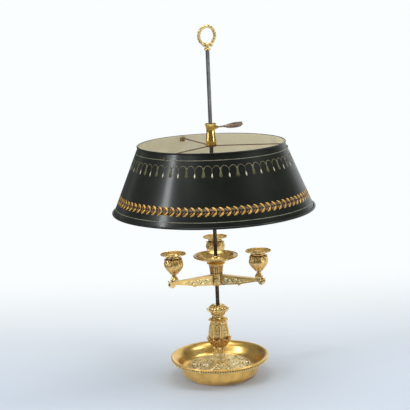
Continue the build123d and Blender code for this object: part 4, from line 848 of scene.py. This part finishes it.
def makeRosettes(look):
    cast, wide = Casting(), look["radius"]
    outer = [(wide, 0), (wide, 0.8), (0.8 * wide, 1.4), (0.5 * wide, 1.3), (0.3 * wide, 2.2), (0.1, 2.6)]

    def form(angle, place, radius, height):
        flower = rosetteForm(radius * np.cos(angle), radius * np.sin(angle), wide * 1.05, 8)
        return 0.9 * flower * (radius < wide * 0.98) - 0.4

    for azimuth in look["azimuths"]:
        cast.add(*turned(outer, [(0.1, 0)], around=128, rows=24, lift=form),
                 move=facingOut(azimuth, look["hubRadius"] - look["sunk"], look["height"]))
    cast.finish("hubRosettes", "arm_cluster", "bright")


arms = {
    "panelRoot": 14.2, "panelTip": 77.0, "kink": 50.4, "top": 198.8, "tall": (13.4, 8.4, 1.2),
    "root": 11.75, "rootWidth": 8.0, "tip": 98.3, "tipWidth": 6.0,
    "scrollsAt": (0.1, 0.27, 0.44, 0.6, 0.75, 0.86),
    "volute": 5.6, "voluteWidth": 8.4, "voluteHeight": 197.4,
    # a raised line along the top of the scroll, from the arm's tip
    "topLine": ((-16, 203.2), (-4, 203.4), (5, 204.0), (7.4, 206.0)),
}


def makeArmRelief(look):
    # foliage that runs along both sides of each arm, and the wound ends
    start, stop, run = look["panelRoot"], look["panelTip"], look["panelTip"] - look["panelRoot"]
    panelHeight = lambda reach: np.interp(reach, (start, look["kink"], stop), look["tall"])

    def faceAt(reach):
        share = (reach - look["root"]) / (look["tip"] - look["root"])
        return (look["rootWidth"] + (look["tipWidth"] - look["rootWidth"]) * share) / 2

    def scrolls(reach, z):
        room = panelHeight(reach)
        up = (z - look["top"]) / room + 1
        level = up - 0.5
        forms = [0.12 * np.ones_like(reach)]
        for number, share in enumerate(look["scrollsAt"]):
            middle, hand = start + share * run, 1 - number % 2 * 2
            size = 0.4 * panelHeight(middle)
            along = (reach - middle + 0.5 * size) / (2.1 * size)
            forms += [1.1 * scrollForm(reach - middle, level * room, size, hand, 1.9),
                      0.9 * leafForm(along, (level - hand * 0.36) * room / (0.5 * size), 3)]
        edge = np.minimum(np.minimum(up, 1 - up) * room, np.minimum(reach - start, stop - reach)) / 0.5
        return np.maximum.reduce(forms) * np.clip(edge, 0, 1)

    cast, wind = Casting(), np.linspace(0, 1, 44)
    angle, far = math.radians(100) - wind * turn * 1.6, look["volute"] * (0.92 - 0.68 * wind)
    for azimuth in armAzimuths:
        move = spunTo(azimuth)
        for side in (-1, 1):
            def place(u, v, top):
                reach = start + u * run
                z = look["top"] - (1 - v) * panelHeight(reach)
                out = faceAt(reach) - 0.55 + (scrolls(reach, z) if top else -0.3)
                return np.stack((reach, side * out, z), -1)
            cast.add(*reliefPlate(26, 120, place), move=move)
            path = np.stack((look["tip"] + far * np.cos(angle), side * (look["voluteWidth"] / 2 + 0 * wind),
                             look["voluteHeight"] + far * np.sin(angle)), -1)
            cast.add(*tubeAlong(path, 0.75 - 0.25 * wind, 6, up=(0, 1, 0)), move=move)
        line = curveThrough([(look["tip"] + out, 0, z) for out, z in look["topLine"]], 20)
        cast.add(*tubeAlong(line, np.linspace(0.6, 1.2, 20), 8), move=move)
    cast.finish("armFoliage", "arm_cluster", "bright")


sockets = {"reach": 92.4, "leaves": 8, "bulb": 17.2, "mouth": 13.7, "bore": 12.38, "well": 26, "stud": 2.06}


def makeSockets(look):
    bulb, mouth, bore, well, stud = (look[k] for k in ("bulb", "mouth", "bore", "well", "stud"))
    for number, azimuth in enumerate(armAzimuths, start=1):
        base, run = standing(f"socket_{number}")
        outer = [(6.2, 0), (6.9, 1.4), (5.8, 4), (4.4, 7), (3.9, 10.5), (4.2, 13), (6.6, 15.6),
                 (0.62 * bulb, 0.42 * run), (0.9 * bulb, 0.55 * run), (bulb, 0.67 * run),
                 (0.94 * bulb, 0.8 * run), (0.84 * bulb, 0.88 * run), (mouth - 0.3, 0.93 * run),
                 (mouth, 0.97 * run), (12.9, run)]

        def chasing(angle, place, radius, height):
            up, half = height / run, math.pi / look["leaves"]
            side, between = (sideways(angle, look["leaves"], phase) for phase in (0, half))
            front = 1.3 * leafForm((up - 0.27) / 0.62, side / 0.98, 3, rib=0.35, cut=0.25)
            behind = 0.6 * leafForm((up - 0.42) / 0.5, between / 0.6, 1, cut=0)
            tips = 1.5 * ridge(up, 0.86, 0.035) * (1 - np.abs(side)) ** 0.7
            gaps = -1.4 * ridge(np.abs(side), 1, 0.22) * ridge(up, 0.86, 0.06)
            struts = 1.5 * beading(angle, 4, 2) * ridge(up, 0.06, 0.1) + 0.7 * ridge(up, 0.3, 0.018)
            return np.maximum(front, behind) + tips + gaps + struts

        rest = [(bore, run), (bore, well), (stud, well), (stud, 0)]
        cast = Casting().add(*turned(outer, rest, around=336, rows=104, lift=chasing, base=base),
                             move=spunTo(azimuth, look["reach"]))
        cast.finish(f"candleSocket_{number}", "arm_cluster", "soft", standsFor=[f"socket_{number}"])


dripRings = {"petals": 10, "rim": 24.4, "bore": 11.0, "tube": 12.3, "rise": 4.4}


def makeDripRings(look):
    rim, bore, tube, rise = (look[k] for k in ("rim", "bore", "tube", "rise"))

    def petalled(angle, place, radius, height):
        side = sideways(angle, look["petals"])
        hollow = -0.5 * ridge(place, 0.62, 0.22) * (1 - side**2)
        return hollow + 0.3 * ridge(side, 0, 0.13) * (place > 0.3) + 0.8 * ridge(place, 0.96, 0.05)

    for number, azimuth in enumerate(armAzimuths, start=1):
        base, run = standing(f"bobeche_{number}")
        top = [(bore, 1.5), (12.2, 1.9), (13.4, 1.5), (17.5, 2.2), (21.6, 3.4), (rim, rise - 0.1)]
        under = [(tube + 0.3, 0.3), (16.5, 0.8), (20.6, 2.1), (rim, rise - 0.9)]
        rest = [(tube, 0.1), (tube, rise - run), (bore, rise - run)]
        ring = turned(top, rest, around=300, rows=34, inner=under, innerRows=14, lift=petalled, hand=-1,
                      reach=leafyRim(look["petals"], 0.07, 2), base=base + run - rise)
        cast = Casting().add(*ring, move=spunTo(azimuth, sockets["reach"]))
        cast.finish(f"dripRing_{number}", f"drip_ring_{number}", "soft", standsFor=[f"bobeche_{number}"])


makeHubCup(hubCup)
makeFlowerNut(flowerNut)
makeRosettes(rosettes)
makeArmRelief(arms)
makeSockets(sockets)
makeDripRings(dripRings)
print("arm cluster made")


# finial
wreath = {
    "azimuth": 30, "radius": 17.2, "height": 659.3, "core": 1.7, "bundles": 9, "start": 14,
    "leaf": 8.3, "width": 2.5, "lift": 0.55, "tilt": 7, "leavesRound": 5, "berriesAt": (0.2, 0.53, 0.86),
    "berry": ((0.05, -1.1), (0.8, -0.8), (1.15, 0), (0.8, 0.8), (0.05, 1.1)),
    "crown": ((0.05, -2.6), (1.7, -1.9), (2.5, 0), (1.7, 1.9), (0.05, 2.6)),
    "knot": ((0.6, -5.0), (3.2, -4.2), (3.7, -2.2), (4.7, 0), (3.7, 2.2), (3.2, 4.2), (0.6, 5.0)),
    "foot": ((3.0, -22.7), (3.4, -21.4), (2.4, -19.5), (2.2, -17.5)), "footBore": 0.5,
    "ribbonLoop": ((1.5, -17.0, 1.6), (4.6, -15.6, 3.2), (8.6, -16.6, 2.4), (9.0, -19.8, 1.2),
                   (5.4, -20.6, 2.2), (1.5, -18.0, 2.4)),
    "ribbonTail": ((1.2, -18.0, 2.4), (3.6, -20.2, 3.6), (5.2, -20.6, 4.4), (7.6, -21.2, 3.8)),
}


def leafBlade(length, width, thick=0.5, curl=0.25):
    # a pointed leaf that lies along X with its face up, cupped across and curled at its tip
    def place(across, u, top):
        v = 2 * across - 1
        y = v * (width * np.sin(math.pi * u**0.8) ** 0.8 + 0.05)
        z = 0.35 * width * (1 - v**2) * np.sin(math.pi * u) + curl * length * u**2.2 * 0.5
        return np.stack((u * length, y, z + (thick / 2 if top else -thick / 2)), -1)
    return reliefPlate(10, 5, place)


def makeWreath(look):
    radius, cast = look["radius"], Casting()
    upright = spunTo(look["azimuth"], 0, look["height"]) @ Matrix.Rotation(math.pi / 2, 4, "X")
    spin, sides = np.meshgrid(np.arange(96) / 96 * turn, np.arange(8) / 8 * turn, indexing="ij")
    wide = radius + look["core"] * np.cos(sides)
    hoop = ringPoints(spin, wide, look["core"] * np.sin(sides)).reshape(-1, 3)
    core = Casting().add(hoop, gridFaces(96, 8), move=upright)
    core.finish("wreathCore", "base", "core", marked=False)
    pitch = (180 - look["start"]) / look["bundles"]
    berry, blade = turned(look["berry"], [], around=10, rows=7), leafBlade(look["leaf"], look["width"])
    lifted = Matrix.Translation((0, 0, look["lift"])) @ Matrix.Rotation(math.radians(-look["tilt"]), 4, "Y")
    for side in (-1, 1):
        for bundle in range(look["bundles"]):
            angle = math.radians(-90 + side * (look["start"] + bundle * pitch))
            root = Matrix.Translation((radius * math.cos(angle), radius * math.sin(angle), 0))
            heading = upright @ root @ Matrix.Rotation(angle + side * math.radians(90 + 0.4 * pitch), 4, "Z")
            rolled = lambda share: heading @ Matrix.Rotation(share * turn + 0.3 * bundle, 4, "X")
            for leaf in range(look["leavesRound"]):
                cast.add(*blade, move=rolled(leaf / look["leavesRound"]) @ lifted)
            for share in look["berriesAt"]:
                cast.add(*berry, move=rolled(share) @ Matrix.Translation((1.2, 0, 2.9)))
    cast.add(*turned(look["crown"], [], around=16, rows=9), move=upright @ Matrix.Translation((0, radius, 0)))
    cast.add(*turned(look["knot"], [], around=24, rows=15),
             move=upright @ Matrix.Translation((0, -radius, 0)) @ Matrix.Rotation(math.pi / 2, 4, "Y"))
    for side in (-1, 1):
        for ribbon, count, widths in (("ribbonLoop", 30, (1.5, 1.5)), ("ribbonTail", 16, (0.9, 1.7))):
            line = curveThrough([(side * x, y, z) for x, y, z in look[ribbon]], count)
            cast.add(*tubeAlong(line, np.linspace(*widths, count), 8, flat=0.3, up=(0, 1, 0)), move=upright)
    bottom, top = look["foot"][0][1], look["foot"][-1][1]
    cast.add(*turned(look["foot"], [(look["footBore"], top), (look["footBore"], bottom)], around=24, rows=10),
             move=spunTo(look["azimuth"], 0, look["height"]))
    cast.finish("wreathFinial", "base", "olive", standsFor=["finial_wreath"])


# key
feather = {
    "azimuth": 30, "height": 487.3, "start": 28.5, "end": 72.5, "width": 11.2, "twist": 22,
    # the outline above and below the shaft, as shares of the length and of the half width
    "above": ((0, 0.16), (0.2, 0.62), (0.5, 0.96), (0.9, 0.94), (0.96, 0.9), (1, 0.35)),
    "below": ((0, 0.16), (0.25, 0.78), (0.55, 0.92), (0.85, 0.8), (1, 0.3)),
    "barbs": 34, "slant": 4.5, "thick": 0.35,
    "ferrule": ((1.6, 0), (2.2, 0.3), (2.3, 1.2), (2.0, 1.8), (2.3, 2.4), (2.2, 4.4), (1.6, 6)),
    "ferruleBore": 1.52,
}


def makeFeather(look):
    span = look["end"] - look["start"]
    above, below = (curveThrough(look[k], 80) for k in ("above", "below"))

    def place(u, v, top):
        side = 2 * v - 1
        outline = np.where(side > 0, np.interp(u, *above.T), np.interp(u, *below.T))
        x = look["start"] + span * (u - 0.05 * np.abs(side) * (u > 0.9) * (u - 0.9) / 0.1)
        y = side * outline * look["width"] / 2
        shaft = 0.9 * ridge(side, 0, 0.12) * (1 - 0.6 * u)
        barbs = 0.22 * np.sin((u * look["barbs"] - np.abs(side) * look["slant"]) * math.pi)
        face = look["thick"] + shaft if top else -look["thick"] - 0.5 * shaft
        z = face + barbs + 0.5 * np.sin(u * 5) - 0.6 * side**2
        angle = np.radians(look["twist"]) * (u - 0.5)
        return np.stack((x, y * np.cos(angle) - z * np.sin(angle), y * np.sin(angle) + z * np.cos(angle)), -1)

    cast, bore = Casting(), look["ferruleBore"]
    cast.add(*reliefPlate(25, 140, place),
             move=spunTo(look["azimuth"], 0, look["height"]) @ Matrix.Rotation(math.pi / 2, 4, "X"))
    cast.add(*turned(look["ferrule"], [(bore, 6), (bore, 0)], around=36, rows=22),
             move=facingOut(look["azimuth"], look["start"] + 0.4, look["height"]))
    cast.finish("featherKey", "key", "feather", slot="old_brass", standsFor=["key_leaf"])


makeWreath(wreath)
makeFeather(feather)
print("finial and key made")


# gilt ornament on the shade
rooted = -0.1  # how far its forms reach into the sheet


def onShade(angle, height, stand):
    # a point on the outer face of the cone, stand millimetres off it
    lean, lift = math.atan(shadeSlope), shadeCone["sheet"] / 2 + stand
    radius = shadeCone["topRadius"] + (shadeCone["topHeight"] - height) * shadeSlope + lift * math.cos(lean)
    return ringPoints(angle, radius, height + lift * math.sin(lean))


def strokeOutline(path, widths, count=14):
    # the outline of a brush stroke along a path, round at both ends
    line = curveThrough(path, count)
    wide = np.interp(np.linspace(0, 1, count), np.linspace(0, 1, len(widths)), widths) / 2
    ahead = unit(np.gradient(line, axis=0))
    side = np.stack((-ahead[:, 1], ahead[:, 0]), -1)
    tip = line[-1:] + ahead[-1:] * wide[-1] * 0.7
    tail = line[:1] - ahead[:1] * wide[0] * 0.7
    return np.vstack((line + side * wide[:, None], tip, (line - side * wide[:, None])[::-1], tail))


def addStroke(cast, outline, count, radiusAt, phase=0.0, stand=0.14):
    # repeats one flat form round the cone: x runs round it and y up it
    size = len(outline)
    faces = [tuple(range(size)), tuple(range(2 * size - 1, size - 1, -1))]
    faces += [(a, (a + 1) % size, (a + 1) % size + size, a + size) for a in range(size)]
    for repeat in range(count):
        angle = phase + repeat * turn / count + outline[:, 0] / radiusAt
        cast.add(np.vstack([onShade(angle, outline[:, 1], off) for off in (stand, rooted)]), faces)


def shadeBand(top, bottom, stand, cuts=288):
    angle = np.arange(cuts) / cuts * turn
    corners = ((top, rooted), (top, stand), (bottom, stand), (bottom, rooted))
    return np.vstack([onShade(angle, height, off) for height, off in corners]), gridFaces(4, cuts)


def finishPaint(casts):
    for name, (cast, finish) in casts.items():
        cast.finish(name, "shade", finish, marked=False)


lines = {"rings": [(446.6, 445.6), (342.9, 341.9)], "stand": 0.12}


def makeShadeLines(look):
    cast = Casting()
    for top, bottom in look["rings"]:
        cast.add(*shadeBand(top, bottom, look["stand"]))
    finishPaint({"shadeLines": (cast, "paintLine")})


garland = {
    "count": 88, "height": 360.2, "radius": 178.7, "phase": -90, "ground": 6.0,
    # strokes of the upper half, from the middle line, with their widths
    "leaf": ((-3.4, 7.4), (-0.4, 6.0), (2.6, 3.4), (4.8, 0.5)), "leafWidths": (0.7, 2.8, 3.6, 3.1, 0.9),
    "heart": ((-6.2, 4.6), (-3.4, 3.2), (-1.0, 0.7)), "heartWidths": (0.4, 1.9, 0.7),
}


def makeGarland(look):
    leaves, ground, hearts = Casting(), Casting(), Casting()
    middle, phase = look["height"], math.radians(look["phase"])
    ground.add(*shadeBand(middle + look["ground"], middle - look["ground"], 0.06))
    for side in (-1, 1):
        for cast, form, count, stand in ((leaves, "leaf", 14, 0.14), (hearts, "heart", 8, 0.1)):
            path = [(x, middle + side * y) for x, y in look[form]]
            outline = strokeOutline(path, look[form + "Widths"], count)
            addStroke(cast, outline, look["count"], look["radius"], phase, stand)
    finishPaint({"garlandGround": (ground, "paintShadow"), "garlandLeaves": (leaves, "paintLeaf"),
                 "garlandHearts": (hearts, "paintHeart")})


frieze = {"bays": 31, "radius": 149.5, "phase": -90.2, "swagTop": 437.0, "swagEnd": 432.6, "dropTop": 424.6,
          "dropEnd": 416.4, "dropWidths": (0.5, 1.3, 2.9, 2.5, 0.5), "tasselEnd": 416.5}


def makeFrieze(look):
    drops, fine, tassels = Casting(), Casting(), Casting()
    radius, phase, bays = look["radius"], math.radians(look["phase"]), look["bays"]
    top, end, dropTop, dropEnd = (look[k] for k in ("swagTop", "swagEnd", "dropTop", "dropEnd"))
    bay = turn * radius / bays
    drop = strokeOutline([(0, dropTop), (0, (dropTop + dropEnd) / 2), (0, dropEnd)], look["dropWidths"], 12)
    addStroke(drops, drop, bays, radius, phase)
    addStroke(fine, strokeOutline([(0, end), (0, dropTop + 1)], (0.7, 0.7), 4), bays, radius, phase)
    for side in (-1, 1):
        swag = strokeOutline([(side * 0.8, end), (side * 0.16 * bay, top - 0.8), (side * 0.27 * bay, top),
                              (side * 0.4 * bay, top - 1.4), (side * 0.48 * bay, end)], (0.9, 1.1, 0.9), 16)
        addStroke(fine, swag, bays, radius, phase)
    for lean in (-2, -1, 0, 1, 2):
        fringe = [(1.2 * lean, end + 1.4), (0.5 * lean, end - 3), (1.0 * lean, look["tasselEnd"] + 6),
                  (1.6 * lean, look["tasselEnd"] + abs(lean))]
        outline = strokeOutline(fringe, (0.8, 0.9, 1.1, 0.9), 10)
        addStroke(tassels, outline, bays, radius, phase + math.pi / bays)
    finishPaint({"friezeDrops": (drops, "paintDrop"), "friezeSwags": (fine, "paintSwag"),
                 "friezeTassels": (tassels, "paintTassel")})


makeShadeLines(lines)
makeGarland(garland)
makeFrieze(frieze)
print("shade ornament made")


print("all pieces placed")
